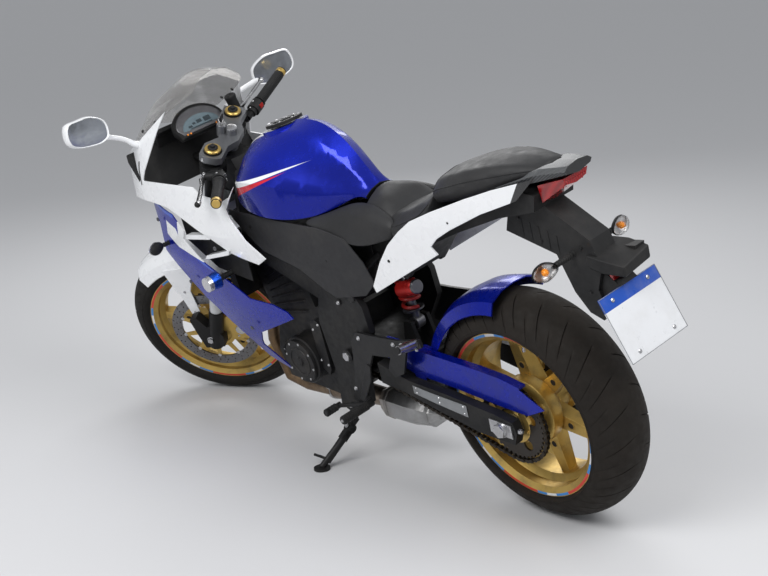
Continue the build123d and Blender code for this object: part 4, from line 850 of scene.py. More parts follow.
# Drive chain of plates, pins and rollers
SPROCKET_C = (668.0, 400.0)
R_REAR = 111.5
R_FRONT = 42.0
SPROCKET_Y = 108.0
CHAIN_PITCH = 15.875
LINK_R = 5.4
LINK_WAIST = 3.9
chain_span = math.hypot(SPROCKET_C[0], SPROCKET_C[1] - REAR_AXLE[2])
chain_tilt = math.atan2(SPROCKET_C[1] - REAR_AXLE[2], SPROCKET_C[0])
chain_wrap = math.asin((R_REAR - R_FRONT) / chain_span)
chain_run = math.sqrt(chain_span ** 2 - (R_REAR - R_FRONT) ** 2)
front_arc = R_FRONT * (math.pi - 2 * chain_wrap)
rear_arc = R_REAR * (math.pi + 2 * chain_wrap)
chain_length = 2 * chain_run + front_arc + rear_arc


def chain_at(s):
    """Pin centre (x, z) at length s along the loop."""
    up = chain_tilt + math.pi / 2 - chain_wrap
    down = chain_tilt - math.pi / 2 + chain_wrap
    if s < chain_run or chain_run + front_arc <= s < 2 * chain_run + front_arc:
        on_top = s < chain_run
        k = s / chain_run if on_top else 1 - (s - chain_run - front_arc) / chain_run
        a = up if on_top else down
        x0, z0 = R_REAR * math.cos(a), REAR_AXLE[2] + R_REAR * math.sin(a)
        x1, z1 = SPROCKET_C[0] + R_FRONT * math.cos(a), SPROCKET_C[1] + R_FRONT * math.sin(a)
        return x0 + (x1 - x0) * k, z0 + (z1 - z0) * k
    if s < chain_run + front_arc:
        a = up - (s - chain_run) / R_FRONT
        return SPROCKET_C[0] + R_FRONT * math.cos(a), SPROCKET_C[1] + R_FRONT * math.sin(a)
    a = down - (s - 2 * chain_run - front_arc) / R_REAR
    return R_REAR * math.cos(a), REAR_AXLE[2] + R_REAR * math.sin(a)


link_count = 2 * int(chain_length / CHAIN_PITCH / 2)
chain = Shape()
pins = [chain_at(chain_length * i / link_count) for i in range(link_count)]
for i, (ax, az) in enumerate(pins):
    bx, bz = pins[(i + 1) % link_count]
    angle = math.atan2(bz - az, bx - ax)
    offset = 5.4 if i % 2 == 0 else 3.6
    mx, mz = (ax + bx) / 2, (az + bz) / 2
    outline = []
    for x, z, half_turn in ((ax, az, 1), (bx, bz, -1)):
        for k in range(5):
            a = angle + half_turn * math.pi / 2 + math.pi * k / 4
            outline.append((x + LINK_R * math.cos(a), z + LINK_R * math.sin(a)))
        outline.append((mx + half_turn * LINK_WAIST * math.sin(angle),
                        mz - half_turn * LINK_WAIST * math.cos(angle)))
    for side in (-1, 1):
        y = SPROCKET_Y + side * offset
        chain.prism(outline, y - 0.8, y + 0.8)
    chain.rod((ax, SPROCKET_Y - 6.9, az), (ax, SPROCKET_Y + 6.9, az), 2.3, sides=8)
    chain.rod((ax, SPROCKET_Y - 2.8, az), (ax, SPROCKET_Y + 2.8, az), 4.4, sides=10)
chain_obj = make("drive_chain_links", "chassis", chain_steel, chain)
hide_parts("drive_chain")

# Rear shock: damper, coil spring and reservoir
SHOCK_LOW = Vector((424.0, 0.0, 462.0))
SHOCK_TOP = Vector((466.0, 0.0, 760.0))
shock_line = (SHOCK_TOP - SHOCK_LOW).normalized()
shock_side = shock_line.cross(Vector((0, 1, 0))).normalized()


def on_shock(height):
    """Point on the damper's line."""
    return SHOCK_LOW + shock_line * height


COIL_TURNS = 6
COIL_STEPS = 20
coil = []
for i in range(COIL_TURNS * COIL_STEPS + 1):
    a = math.tau * i / COIL_STEPS
    height = 46.0 + 150.0 * i / (COIL_TURNS * COIL_STEPS)
    coil.append(on_shock(height) + (shock_side * math.cos(a) + Vector((0, 1, 0)) * math.sin(a)) * 25.0)
make("shock_spring", "chassis", spring_red, Shape().tube(coil, 5.2, 10))
damper = Shape().rod(on_shock(14), on_shock(210), 13)
damper.spin([(12, 36), (30, 36), (31, 42), (12, 42)], SHOCK_LOW, shock_line)
damper.spin([(12, 198), (31, 198), (31, 206), (27, 214), (12, 214)], SHOCK_LOW, shock_line)
damper.rod(on_shock(212), on_shock(300), 16)
damper.rod(on_shock(214), on_shock(244), 23)
damper.spin([(9.0, -14), (19, -14), (19, 14), (9.0, 14)], SHOCK_LOW + Vector((1.0, 0.0, 0.0)))
damper.tube([(450, 0, 664), (425, 20, 652), (396, 40, 636), (374, 46, 618)], 6.5, 12)
damper_obj = make("shock_body", "chassis", gunmetal, damper, bevel=0.8)
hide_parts("rear_shock")
CAN_AT = Vector((330, 46, 606))
can_axis = (Vector((420, 46, 578)) - CAN_AT).normalized()
reservoir = Shape().spin([(0.5, 8), (20, 8), (22.5, 12), (22.5, 24), (21, 25), (21, 27), (22.5, 28), (22.5, 74),
                          (18, 80), (0.5, 80)], CAN_AT, can_axis)
make("shock_reservoir", "chassis", red_anodised, reservoir)
reservoir_cap = Shape().spin([(0.5, 0), (17, 0), (20, 3), (20, 9), (0.5, 9)], CAN_AT, can_axis)
make("shock_reservoir_cap", "chassis", gunmetal, reservoir_cap)


# Cushions: the CAD block, shrunk a little, puffed as cloth, with piping along it after that
SHRINK = 2.5
MAX_PUFF = 5.0
CELL = 5.5


def cushion(node, name):
    """Soft body in place of a CAD block."""
    obj = bpy.data.objects.new(name, NODES[node].data.copy())
    bpy.context.scene.collection.objects.link(obj)
    mesh = obj.data
    mesh.materials.clear()
    bm = bmesh.new()
    bm.from_mesh(mesh)
    bmesh.ops.remove_doubles(bm, verts=bm.verts, dist=0.02 * MM)
    bm.normal_update()
    for vert in bm.verts:
        vert.co -= vert.normal * SHRINK * MM
    bm.to_mesh(mesh)
    bm.free()
    remesh = obj.modifiers.new("cells", "REMESH")
    remesh.mode = "VOXEL"
    remesh.voxel_size = CELL * MM
    relax = obj.modifiers.new("relax", "SMOOTH")
    relax.iterations = 8
    relax.factor = 0.6
    settle(obj)
    rest = [v.co.copy() for v in obj.data.vertices]
    cloth = obj.modifiers.new("fill", "CLOTH")
    cloth.settings.quality = 5
    cloth.settings.mass = 0.3
    cloth.settings.tension_stiffness = 25.0
    cloth.settings.compression_stiffness = 25.0
    cloth.settings.bending_stiffness = 12.0
    cloth.settings.use_pressure = True
    cloth.settings.uniform_pressure_force = 4.0
    cloth.settings.effector_weights.gravity = 0.0
    scene = bpy.context.scene
    for f in range(1, 21):
        scene.frame_set(f)
    puffed = evaluated_points(obj)
    obj.modifiers.remove(cloth)
    scene.frame_set(1)
    for vert, was, now in zip(obj.data.vertices, rest, puffed):
        move = now - was
        if move.length > MAX_PUFF * MM:
            move = move * (MAX_PUFF * MM / move.length)
        vert.co = was + move
    even = obj.modifiers.new("even", "SMOOTH")
    even.iterations = 6
    even.factor = 0.5
    subdivide = obj.modifiers.new("finer", "SUBSURF")
    subdivide.levels = 1
    subdivide.render_levels = 1
    settle(obj)
    obj.data.shade_smooth()
    obj.data.materials.append(vinyl.mat)
    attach(obj, "chassis")
    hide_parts(node)
    return obj


def evaluated_points(obj):
    """Vertex positions after the modifiers."""
    graph = bpy.context.evaluated_depsgraph_get()
    shown = obj.evaluated_get(graph)
    mesh = shown.to_mesh()
    points = [v.co.copy() for v in mesh.vertices]
    shown.to_mesh_clear()
    return points


def settle(obj):
    """Bakes the modifiers into the mesh."""
    graph = bpy.context.evaluated_depsgraph_get()
    mesh = bpy.data.meshes.new_from_object(obj.evaluated_get(graph))
    obj.modifiers.clear()
    obj.data = mesh


rider = cushion("rider_seat", "rider_cushion")
pillion = cushion("pillion_seat", "pillion_cushion")


def soft_vinyl(name, shape):
    """Padded vinyl piece with a smooth subdivided surface."""
    obj = make(name, "chassis", vinyl, shape)
    finer = obj.modifiers.new("finer", "SUBSURF")
    finer.levels = 2
    finer.render_levels = 2


# Vinyl nose and wings that run forward from the rider's seat, round and under the tank's rear edge
nose_rows = (
    # x, centre z, inner y, z, outer y, z, low z
    (296.0, 829.0, 60.0, 827.0, 92.0, 816.0, 790.0),
    (326.0, 838.0, 58.0, 840.0, 92.0, 822.0, 790.0),
    (352.0, 856.0, 56.0, 862.0, 92.0, 832.0, 792.0),
    (380.0, 866.0, 54.0, 864.0, 90.0, 838.0, 792.0),
    (412.0, 872.0, 52.0, 858.0, 86.0, 838.0, 792.0),
    (439.0, 874.0, 50.0, 852.0, 84.0, 834.0, 792.0),
)
nose = Shape().loft([[(x, 0.0, cz), (x, iy * 0.5, cz + (iz - cz) * 0.2), (x, iy, iz), (x, oy, oz),
                      (x, oy - 2.0, lz), (x, 0.0, lz), (x, 2.0 - oy, lz), (x, -oy, oz), (x, -iy, iz),
                      (x, iy * -0.5, cz + (iz - cz) * 0.2)]
                     for x, cz, iy, iz, oy, oz, lz in nose_rows])
soft_vinyl("seat_nose", nose)
wing_rows = (
    # x, inner y, upper z, outer y, upper z, outer y low, low z
    (286.0, 100.0, 824.0, 118.0, 806.0, 114.0, 778.0),
    (326.0, 86.0, 836.0, 120.0, 816.0, 124.0, 768.0),
    (372.0, 78.0, 848.0, 120.0, 822.0, 132.0, 752.0),
    (430.0, 72.0, 850.0, 114.0, 824.0, 138.0, 742.0),
    (480.0, 74.0, 842.0, 112.0, 818.0, 141.0, 750.0),
    (530.0, 88.0, 824.0, 116.0, 808.0, 142.0, 764.0),
    (580.0, 104.0, 806.0, 124.0, 798.0, 143.0, 778.0),
    (630.0, 124.0, 794.0, 134.0, 791.0, 141.0, 785.0),
)
for side, tag in ((1, "left"), (-1, "right")):
    wing = Shape().loft([[(x, side * (iy - 8.0), uz - 12.0), (x, side * iy, uz),
                          (x, side * (iy + oy) / 2, (uz + oz) / 2 + 4.0), (x, side * oy, oz),
                          (x, side * (oy + ly) / 2 + side * 4.0, (oz + lz) / 2), (x, side * ly, lz),
                          (x, side * (ly - 10.0), lz - 2.0)]
                         for x, iy, uz, oy, oz, ly, lz in wing_rows])
    soft_vinyl("seat_wing_" + tag, wing)


# Seams: piping pressed into the cushion along chosen lines
PIPING_R = 1.6


def seam(name, cushion_obj, line):
    """Piping that follows the cushion's skin below a line of points in upright millimetres."""
    inverse = UPRIGHT.inverted()
    graph = bpy.context.evaluated_depsgraph_get()
    shown = cushion_obj.evaluated_get(graph)
    points = []
    for p in line:
        world = (UPRIGHT @ Vector(p)) * MM
        hit, where, normal, _ = shown.closest_point_on_mesh(world)
        if hit:
            points.append(inverse @ ((where + normal * PIPING_R * 0.15 * MM) / MM))
    smooth = []
    for i, p in enumerate(points):
        a = points[max(0, i - 1)]
        b = points[min(len(points) - 1, i + 1)]
        smooth.append((a + p * 2 + b) / 4)
    make(name, "chassis", thread, Shape().tube(smooth, PIPING_R, 8))


def resample(points, step=8.0):
    """The same line with points about step mm apart."""
    dense = []
    for a, b in zip(points[:-1], points[1:]):
        a, b = Vector(a), Vector(b)
        n = max(1, int((b - a).length / step))
        dense.extend([a + (b - a) * k / n for k in range(n)])
    dense.append(Vector(points[-1]))
    return dense


for side, tag in ((-1, "right"), (1, "left")):
    seam("rider_seam_" + tag, rider,
         resample([(425, side * 66, 832), (380, side * 92, 816), (280, side * 120, 822), (190, side * 112, 858),
                   (156, side * 96, 888)]))
    seam("pillion_seam_" + tag, pillion,
         resample([(132, side * 86, 914), (60, side * 104, 942), (-40, side * 94, 966), (-130, side * 70, 980),
                   (-200, side * 45, 988)]))
seam("pillion_front_seam", pillion,
     resample([(126, -80, 918), (124, -50, 930), (122, 0, 938), (124, 50, 930), (126, 80, 918)]))

# Grips with ribs, and the bar line in upright coordinates before steering
BAR_ROOT = Vector((1096.0, 142.0, 921.0))
BAR_TIP = Vector((1032.0, 338.0, 945.0))


def on_bar(k, dx=0.0, dz=0.0, side=1):
    """Point at share k of a bar, moved forward and up."""
    p = BAR_ROOT + (BAR_TIP - BAR_ROOT) * k
    return Vector((p.x + dx, side * p.y, p.z + dz))


GRIP_RIBS = 22
grip_length = (BAR_TIP - BAR_ROOT).length * 0.62
rib_pitch = (grip_length - 12.0) / GRIP_RIBS
for side, tag in ((1, "left"), (-1, "right")):
    line = (on_bar(1.0, side=side) - on_bar(0.0, side=side)).normalized()
    profile = [(10.8, 0.0), (19.0, 0.0), (19.0, 4.0), (16.2, 5.5)]
    for i in range(GRIP_RIBS):
        start = 7.0 + rib_pitch * i
        profile += [(15.4, start), (16.4, start + rib_pitch * 0.25), (16.4, start + rib_pitch * 0.7),
                    (15.4, start + rib_pitch * 0.95)]
    profile += [(16.4, grip_length - 3.0), (14.5, grip_length), (10.8, grip_length)]
    grip_shape = Shape().spin(profile, on_bar(0.36, side=side), line, 28)
    grip = make("grip_" + tag, "steering", plastic_steered, grip_shape, True)
    if side > 0:
        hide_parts("grips")
    end = Shape().spin([(0.5, -4.0), (11.0, -4.0), (15.6, 2.0), (15.6, 13.0), (12.0, 17.5), (0.5, 17.5)],
                       on_bar(0.99, side=side), line, 32)
    make("bar_end_" + tag, "steering", plain_gold_steered, end, True)

    # Bright lever over the CAD one, its pivot bolt and a clamp bolt
    ball_at = on_bar(0.93, 56, 1, side)
    lever = Shape().tube([on_bar(0.12, 49, 8, side), on_bar(0.22, 58, 8, side), on_bar(0.42, 54, 4, side),
                          on_bar(0.68, 54, 2, side), ball_at], [5.6, 5.8, 5.0, 4.8, 4.6], 14)
    lever.spin([(0.4, -7.5), (4.8, -5.6), (7.4, -1.6), (7.4, 1.6), (4.8, 5.6), (0.4, 7.5)], ball_at,
               (0.3, side, 0.1), 20)
    make("lever_" + tag, "steering", silver_steered, lever, True)
    pivot = Shape().bolt(on_bar(0.12, 46, 15, side), (0, 0, 1), 5.0)
    pivot.bolt(on_bar(0.245, 0, 20.6, side), (0, 0, 1), 3.2).bolt(on_bar(0.145, 0, 15.2, side), (0, 0, 1), 3.2)
    make("control_bolts_" + tag, "steering", silver_steered, pivot, True)

# Switch buttons: a red stop switch on the right, pale rockers on the left
stop_switch = Shape().loft([[on_bar(k, -19.5, dz, -1) + Vector((dx, 0, 0))
                             for k, dz in ((0.20, -4), (0.27, -4), (0.27, 8), (0.20, 8))] for dx in (2.0, -5.0)])
make("stop_switch", "steering", red_anodised, stop_switch, True, 0.8)
for k, dz, tag in ((0.20, 6, "dip"), (0.26, -5, "turn")):
    rocker = Shape().loft([[on_bar(k + a, -19.0, dz + b) + Vector((dx, 0, 0))
                            for a, b in ((-0.02, -4), (0.02, -4), (0.02, 4), (-0.02, 4))] for dx in (2.0, -4.5)])
    make("rocker_" + tag, "steering", silver_steered, rocker, True, 0.8)
reservoir_lid = Shape().spin([(0.5, 0), (18.4, 0), (18.4, 6), (16.6, 8), (0.5, 8)], on_bar(0.16, 50, 61, -1),
                             (0, 0, 1), 28)
for dy in (-9, 9):
    reservoir_lid.bolt(on_bar(0.16, 50, 69, -1) + Vector((0, dy, 0)), (0, 0, 1), 2.6)
make("brake_reservoir_lid", "steering", plastic_steered, reservoir_lid, True)

# Fork caps: gold ring round a black centre with a hexagon, clamp bolts, steering nut and lock
for side, tag in ((1, "left"), (-1, "right")):
    foot = Vector((leg_x(978.0), side * 102.0, 978.0))
    cap_ring = Shape().spin([(13.5, -3.0), (24.0, -3.0), (24.0, 1.5), (21.5, 4.0), (13.5, 4.0)], foot, STEER_LINE, 40)
    make("fork_cap_ring_" + tag, "steering", plain_gold_steered, cap_ring, True)
    cap_core = Shape().spin([(0.5, -3.0), (13.6, -3.0), (13.6, 6.5), (12.0, 8.0), (0.5, 8.0)], foot, STEER_LINE, 32)
    cap_core.hexagon(foot + STEER_LINE * 8.0, STEER_LINE, 14.0, 6.0)
    make("fork_cap_core_" + tag, "steering", plastic_steered, cap_core, True)
    bolts = Shape()
    for z, ahead in ((950.0, 46.0), (752.0, 46.0)):
        base = Vector((steer_x(z), 0, z)) + STEER_AHEAD * ahead
        bolts.bolt(base + Vector((0, side * 138.2, 0)), (0, side, 0), 4.6)
    bolts.bolt((1437.0, side * 122.5, 300.0), (0, side, 0), 11.0)
    bolts.bolt((1404.0, side * 118.6, 356.0), (0, side, 0), 4.2)
    make("clamp_bolts_" + tag, "steering", silver_steered, bolts, True)
    dust_seal = Shape().spin([(20.7, -3.0), (25.4, -3.0), (25.4, 2.0), (20.7, 3.4)],
                             (leg_x(636.0), side * 102.0, 634.0), STEER_LINE, 36)
    make("dust_seal_" + tag, "steering", plastic_steered, dust_seal, True)
lock_at = Vector((steer_x(950.0), 0, 950.0)) + STEER_AHEAD * 30.0
lock_top = lock_at + STEER_LINE * 36.0
barrel = Shape().spin([(0.5, 0.0), (13.0, 0.0), (13.0, 2.4), (9.5, 3.2), (0.5, 3.2)], lock_top, STEER_LINE, 32)
make("ignition_barrel", "steering", silver_steered, barrel, True)
key_base = lock_top + STEER_LINE * 3.0


def key_part(thick, stations):
    """Flat piece of the key: half its thickness, and (height, half width) stations up it."""
    return Shape().loft([[key_base + STEER_LINE * h + Vector((dx, dy, 0))
                          for dx, dy in ((-thick, -w), (thick, -w), (thick, w), (-thick, w))] for h, w in stations])


make("ignition_key", "steering", key_metal, key_part(1.2, ((0.0, 4.0), (9.0, 4.0))), True)
bow = key_part(3.0, ((8.0, 6.0), (12.0, 10.5), (24.0, 11.5), (30.0, 8.0)))
make("ignition_key_bow", "steering", plastic_steered, bow, True, 1.4)
ring_points = []
for k in range(24):
    a = math.tau * k / 24
    ring_points.append(key_base + STEER_LINE * 22.0
                       + Vector((4.0 * math.sin(a), 11.0 + 10.0 * math.cos(a), 9.5 * math.sin(a) - 3.0)))
make("key_ring", "steering", silver_steered, Shape().tube(ring_points, 0.9, 8, False, True), True)
stem_nut = Shape().spin([(0.5, 0.0), (16.0, 0.0), (16.0, 4.0), (13.0, 5.0), (0.5, 5.0)],
                        Vector((steer_x(976.0), 0, 976.0)) - STEER_LINE * 0.4, STEER_LINE, 32)
make("stem_cap", "steering", silver_steered, stem_nut, True)

# Cockpit: black inner panel with a hood, and the instrument under its dome with a grey display
panel = Shape().prism([(1302, 816), (1314, 810), (1376, 920), (1374, 944), (1362, 948)], -207.0, 207.0)
panel.prism([(1352, 930), (1376, 944), (1358, 978), (1330, 992), (1322, 980), (1344, 962)], -104.0, 104.0)
panel_obj = make("cockpit_inner_panel", "chassis", plastic, panel, bevel=2.5)
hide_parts("cockpit_panel")
DIAL_BASE = Vector((1236.0, 0.0, 958.0))
DIAL_LEAN = math.radians(52.0)
face_line = Vector((math.cos(DIAL_LEAN), 0.0, math.sin(DIAL_LEAN)))
face_out = Vector((-math.sin(DIAL_LEAN), 0.0, math.cos(DIAL_LEAN)))


def on_dial(u, v, w):
    """Point on the instrument: u across, v up its face, w out of it."""
    return DIAL_BASE + face_line * v + face_out * w + Vector((0, u, 0))


def dome(grow):
    """Dome outline of the instrument, larger by grow."""
    points = []
    for k in range(25):
        a = math.pi * k / 24
        points.append(((92.0 + grow) * math.cos(a), 26.0 + (66.0 + grow) * math.sin(a)))
    return points + [(-80.0 - grow, -6.0 - grow), (80.0 + grow, -6.0 - grow)]


def dial_loft(stations):
    """Stack of domes, each (growth, height above the face)."""
    return Shape().loft([[on_dial(u, v, w) for u, v in dome(grow)] for grow, w in stations])


body = dial_loft(((-26.0, -30.0), (-6.0, -22.0), (0.0, -8.0), (0.0, 4.0), (-4.0, 10.0), (-9.0, 6.0)))
body.prism([(1276, 972), (1300, 990), (1362, 950), (1352, 922)], -34.0, 34.0)
make("dial_body", "chassis", plastic, body, bevel=1.2)
make("dial_ring", "chassis", gunmetal, dial_loft(((-9.0, 5.0), (-12.0, 7.6), (-15.0, 7.6))), bevel=0.5)
screen_outline = [(u * 0.72, 14.0 + (v - 26.0) * 0.62) for u, v in dome(0.0)[:25]]
screen = Shape().loft([[on_dial(u, v, w) for u, v in screen_outline] for w in (7.2, 9.0)])
make("dial_display", "chassis", lcd, screen, bevel=0.5)
blocks = Shape()
for u, v, du, dv in ((-40, 22, 24, 16), (-8, 26, 18, 11), (16, 26, 10, 7), (30, 20, 14, 7), (-40, 14.5, 80, 4)):
    outline = [(u, v), (u + du, v), (u + du, v + dv), (u, v + dv)]
    blocks.loft([[on_dial(a, b, 8.9) for a, b in outline], [on_dial(a, b, 9.5) for a, b in outline]])
display_blocks = worn("display_blocks", (0.045, 0.06, 0.07), amount=0.05, low=0.25, high=0.35)
make("dial_blocks", "chassis", display_blocks, blocks)
lamps = Shape()
for u in (-60, -48, 48, 60):
    lamps.spin([(0.3, 0), (3.2, 0), (2.8, 1.4), (0.3, 1.8)], on_dial(u, 4.0, 7.4), face_out, 16)
make("dial_lamps", "chassis", bulb_amber, lamps)

# Mirrors: rounded white shell and rim, glass turned to the rider, stalk from the fairing
MIRROR_RING = ((58.0, 44.0), (18.0, 46.0), (-24.0, 42.0), (-66.0, 14.0), (-66.0, -30.0), (-40.0, -43.0),
               (-8.0, -42.0), (40.0, -32.0), (68.0, -14.0), (72.0, 16.0))
CURVE_STEPS = 6


def spline(a, b, c, d, t):
    """Smooth curve from b to c at share t, led by a before and d after."""
    return 0.5 * (2 * b + (c - a) * t + (2 * a - 5 * b + 4 * c - d) * t * t + (3 * b - a - 3 * c + d) * t ** 3)


mirror_curve = []
for i in range(len(MIRROR_RING)):
    near = [MIRROR_RING[(i + k - 1) % len(MIRROR_RING)] for k in range(4)]
    for j in range(CURVE_STEPS):
        mirror_curve.append(tuple(spline(*values, j / CURVE_STEPS) for values in zip(*near)))
shells = Shape()
glasses = Shape()
for side, my, mz, yaw in ((1, 330.0, 1068.0, 6.0), (-1, 356.0, 1030.0, 24.0)):
    turn = math.radians(yaw)
    facing = Vector((-math.cos(turn), -side * math.sin(turn), 0.05)).normalized()
    outward = Vector((0, 0, 1)).cross(facing).normalized()
    if outward.y * side < 0:
        outward = -outward
    upward_m = facing.cross(outward).normalized()
    if upward_m.z < 0:
        upward_m = -upward_m
    centre = Vector((1318.0, side * my, mz))

    def mirror_loops(stations):
        """Mirror outlines, each (depth behind the rim, size)."""
        return [[centre + outward * (u * k) + upward_m * (v * k) - facing * h for u, v in mirror_curve]
                for h, k in stations]

    shells.loft(mirror_loops(((6.0, 0.90), (0.0, 0.90), (-4.0, 0.92), (-6.0, 0.96), (-4.0, 0.985), (0.0, 1.0),
                              (10.0, 1.02), (24.0, 0.97), (36.0, 0.82), (44.0, 0.56), (47.0, 0.26))))
    glasses.loft(mirror_loops(((-1.6, 0.915), (2.0, 0.915))))
    low = centre - facing * 26.0 - upward_m * 18.0 - outward * 20.0
    path = [Vector((1334.0, side * 160.0, 964.0)), Vector((1334.0, side * 186.0, 976.0)),
            Vector((1336.0, side * 212.0, 990.0 + 0.12 * (mz - 984.0))),
            Vector((1338.0, side * 250.0, 0.55 * mz + 434.8)), low]
    dense = []
    for i in range(len(path) - 1):
        near = path[max(0, i - 1)], path[i], path[i + 1], path[min(len(path) - 1, i + 2)]
        dense.extend(spline(*near, j / CURVE_STEPS) for j in range(CURVE_STEPS))
    dense.append(path[-1])
    count = len(dense)
    shells.tube(dense, [14.0 - 6.5 * min(1.0, 2.4 * i / count) + 6.0 * max(0.0, i / count - 0.7)
                        for i in range(count)], 16)
shell_obj = make("mirror_shells", "chassis", mirror_white, shells)
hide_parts("mirrors")
glass_obj = make("mirror_faces", "chassis", mirror_glass, glasses)
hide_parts("mirror_glasses")

# Windscreen screws
screws = Shape()
for x, y, z in ((1330, 147, 1004), (1410, 143, 960), (1250, 142, 1036)):
    for side in (-1, 1):
        out_dir = Vector((0.1, side * 0.85, 0.45)).normalized()
        screws.spin([(0.4, -1.0), (5.2, -1.0), (5.2, 1.4), (4.0, 2.6), (0.4, 2.6)], (x, side * (y + 3.0), z),
                    out_dir, 20)
make("screen_screws", "chassis", plastic, screws)

# Turn signals: ribbed black stalk, egg-shaped clear lens on a back shell, bowl and amber bulb
signal_black = Shape()
signal_lens = Shape()
signal_bulb = Shape()
signal_bowl = Shape()


def egg(shape, centre, face, outward, half, depth, low, high, steps=12):
    """Open part of an egg round the line through centre along face: depth stations from low to high of a turn."""
    up = outward.cross(face).normalized()
    loops = []
    for i in range(steps + 1):
        a = low + (high - low) * i / steps
        k = max(math.cos(a), 0.02)
        loop = []
        for j in range(36):
            b = math.tau * j / 36
            taper = 1.0 - 0.28 * max(0.0, -math.cos(b))
            loop.append(centre + outward * (math.cos(b) * half[0] * k) + up * (math.sin(b) * half[1] * taper * k)
                        + face * (math.sin(a) * depth))
        loops.append(loop)
    shape.loft(loops, False)


QUARTER = math.pi / 2
for x, y0, y1, z, forward in ((-242.0, 34.4, 134.0, 780.0, -1.0), (1266.0, 199.6, 262.0, 672.0, 1.0)):
    for side in (-1, 1):
        outward = Vector((0, side, 0))
        start = Vector((x, side * y0, z))
        reach = y1 - 30.0 - y0
        profile = [(0.4, 0.0), (9.0, 0.0)]
        ribs = max(2, int(reach / 8.0))
        for i in range(ribs):
            h = reach * (i + 0.5) / ribs
            taper = i / ribs
            profile += [(8.2 - taper, h - 2.6), (6.4 - taper, h - 1.6), (6.4 - taper, h + 1.6),
                        (8.2 - taper, h + 2.6)]
        profile += [(7.4, reach), (0.4, reach + 6.0)]
        signal_black.spin(profile, start, outward, 20)
        face = Vector((forward, side * 0.25, 0)).normalized()
        along = (outward - face * outward.dot(face)).normalized()
        head = Vector((x, side * (y1 - 3.0), z))
        size = (34.0, 23.0) if forward < 0 else (28.0, 20.0)
        egg(signal_black, head, -face, along, size, 14.0, 0.0, QUARTER)
        egg(signal_black, head, face, along, (size[0] + 0.6, size[1] + 0.6), 20.0, 0.0, 0.16, 2)
        egg(signal_lens, head + face * 2.0, face, along, size, 19.0, 0.0, QUARTER)
        egg(signal_bowl, head + face * 1.6, -face, along, (size[0] - 3.0, size[1] - 3.0), 11.0, 0.0, QUARTER)
        signal_bulb.spin([(0.3, -6.0), (5.0, -6.0), (8.4, 1.0), (8.4, 6.0), (5.4, 10.5), (0.3, 12.5)],
                         head + along * 2.0, face, 24)
signals = make("signal_shells", "chassis", plastic, signal_black)
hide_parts("turn_signals")
make("signal_lenses", "chassis", clear_lens, signal_lens)
make("signal_bowls", "chassis", silver, signal_bowl)
make("signal_bulbs", "chassis", bulb_amber, signal_bulb)

# Light housing over the plate, between the hanger and its bracket
housing = Shape().loft([
    [(-284, 40, 786), (-284, -58, 794), (-284, -58, 764), (-284, 40, 756)],
    [(-330, 44, 782), (-330, -62, 794), (-330, -62, 752), (-330, 44, 748)],
    [(-384, 30, 768), (-384, -62, 784), (-384, -62, 752), (-384, 30, 742)]])
make("plate_light_housing", "chassis", plastic, housing, bevel=4.0)

# Plate hardware: frame, screws, lamp above the plate and red reflector
tilt_up = Vector((math.sin(PLATE_TILT), 0.0, math.cos(PLATE_TILT)))
tilt_out = Vector((-math.cos(PLATE_TILT), 0.0, math.sin(PLATE_TILT)))


def on_plate(u, v, w):
    """Point on the number plate: u across, v up it, w out of its rear face."""
    return PLATE_AT + tilt_up * v + tilt_out * (w + 1.2) + Vector((0, u, 0))


rim_strip = Shape()
corners = [on_plate(u, v, 0.2) for u, v in ((-99, -84), (99, -84), (99, 76), (-99, 76))]
rim_strip.tube(corners, 1.1, 6, False, True)
make("plate_edge", "chassis", plate_grey, rim_strip)
plate_screws = Shape()
for u, v in ((-62, 60), (62, 60), (-62, -68), (62, -68)):
    plate_screws.spin([(0.3, -0.4), (5.4, -0.4), (5.0, 1.4), (2.6, 2.2), (2.4, 1.2), (0.3, 1.2)],
                      on_plate(u, v, 0.2), tilt_out, 20)
make("plate_screws", "chassis", silver, plate_screws)
plate_lamp = Shape().loft([[on_plate(u, v, w) for u, v in ((-26, 77), (26, 77), (20, 92), (-20, 92))]
                           for w in (-6.0, 14.0)])
make("plate_lamp", "chassis", plastic, plate_lamp, bevel=2.0)
reflector = Shape().loft([[(-343.0 + (z - 700) * 0.25 - w, u, z)
                           for u, z in ((-23, 722), (23, 722), (23, 742), (-23, 742))] for w in (-4.0, 5.0)])
make("rear_reflector", "chassis", reflector_red, reflector, bevel=1.0)
hanger_ribs = Shape()
for k in range(5):
    x, z = -96.0 - 26.0 * k, 806.0 - 8.0 * k
    hanger_ribs.prism([(x - 2.0, z), (x + 2.0, z), (x + 2.0, z + 46), (x - 2.0, z + 46)], -35.2, 35.2)
make("hanger_ribs", "chassis", plastic, hanger_ribs, bevel=0.5)
hanger_bolts = Shape()
for x, z in ((-90, 850), (-270, 800), (-276, 690), (-150, 800)):
    hanger_bolts.bolt((x, 34.2, z), (0, 1, 0), 4.0)
for at in ((60, 121.0, 856), (300, 139.0, 726)):
    hanger_bolts.bolt(at, (0, 1, 0), 3.6)
hanger_bolts.mirrored()
make("tail_bolts", "chassis", bracket_dark, hanger_bolts)

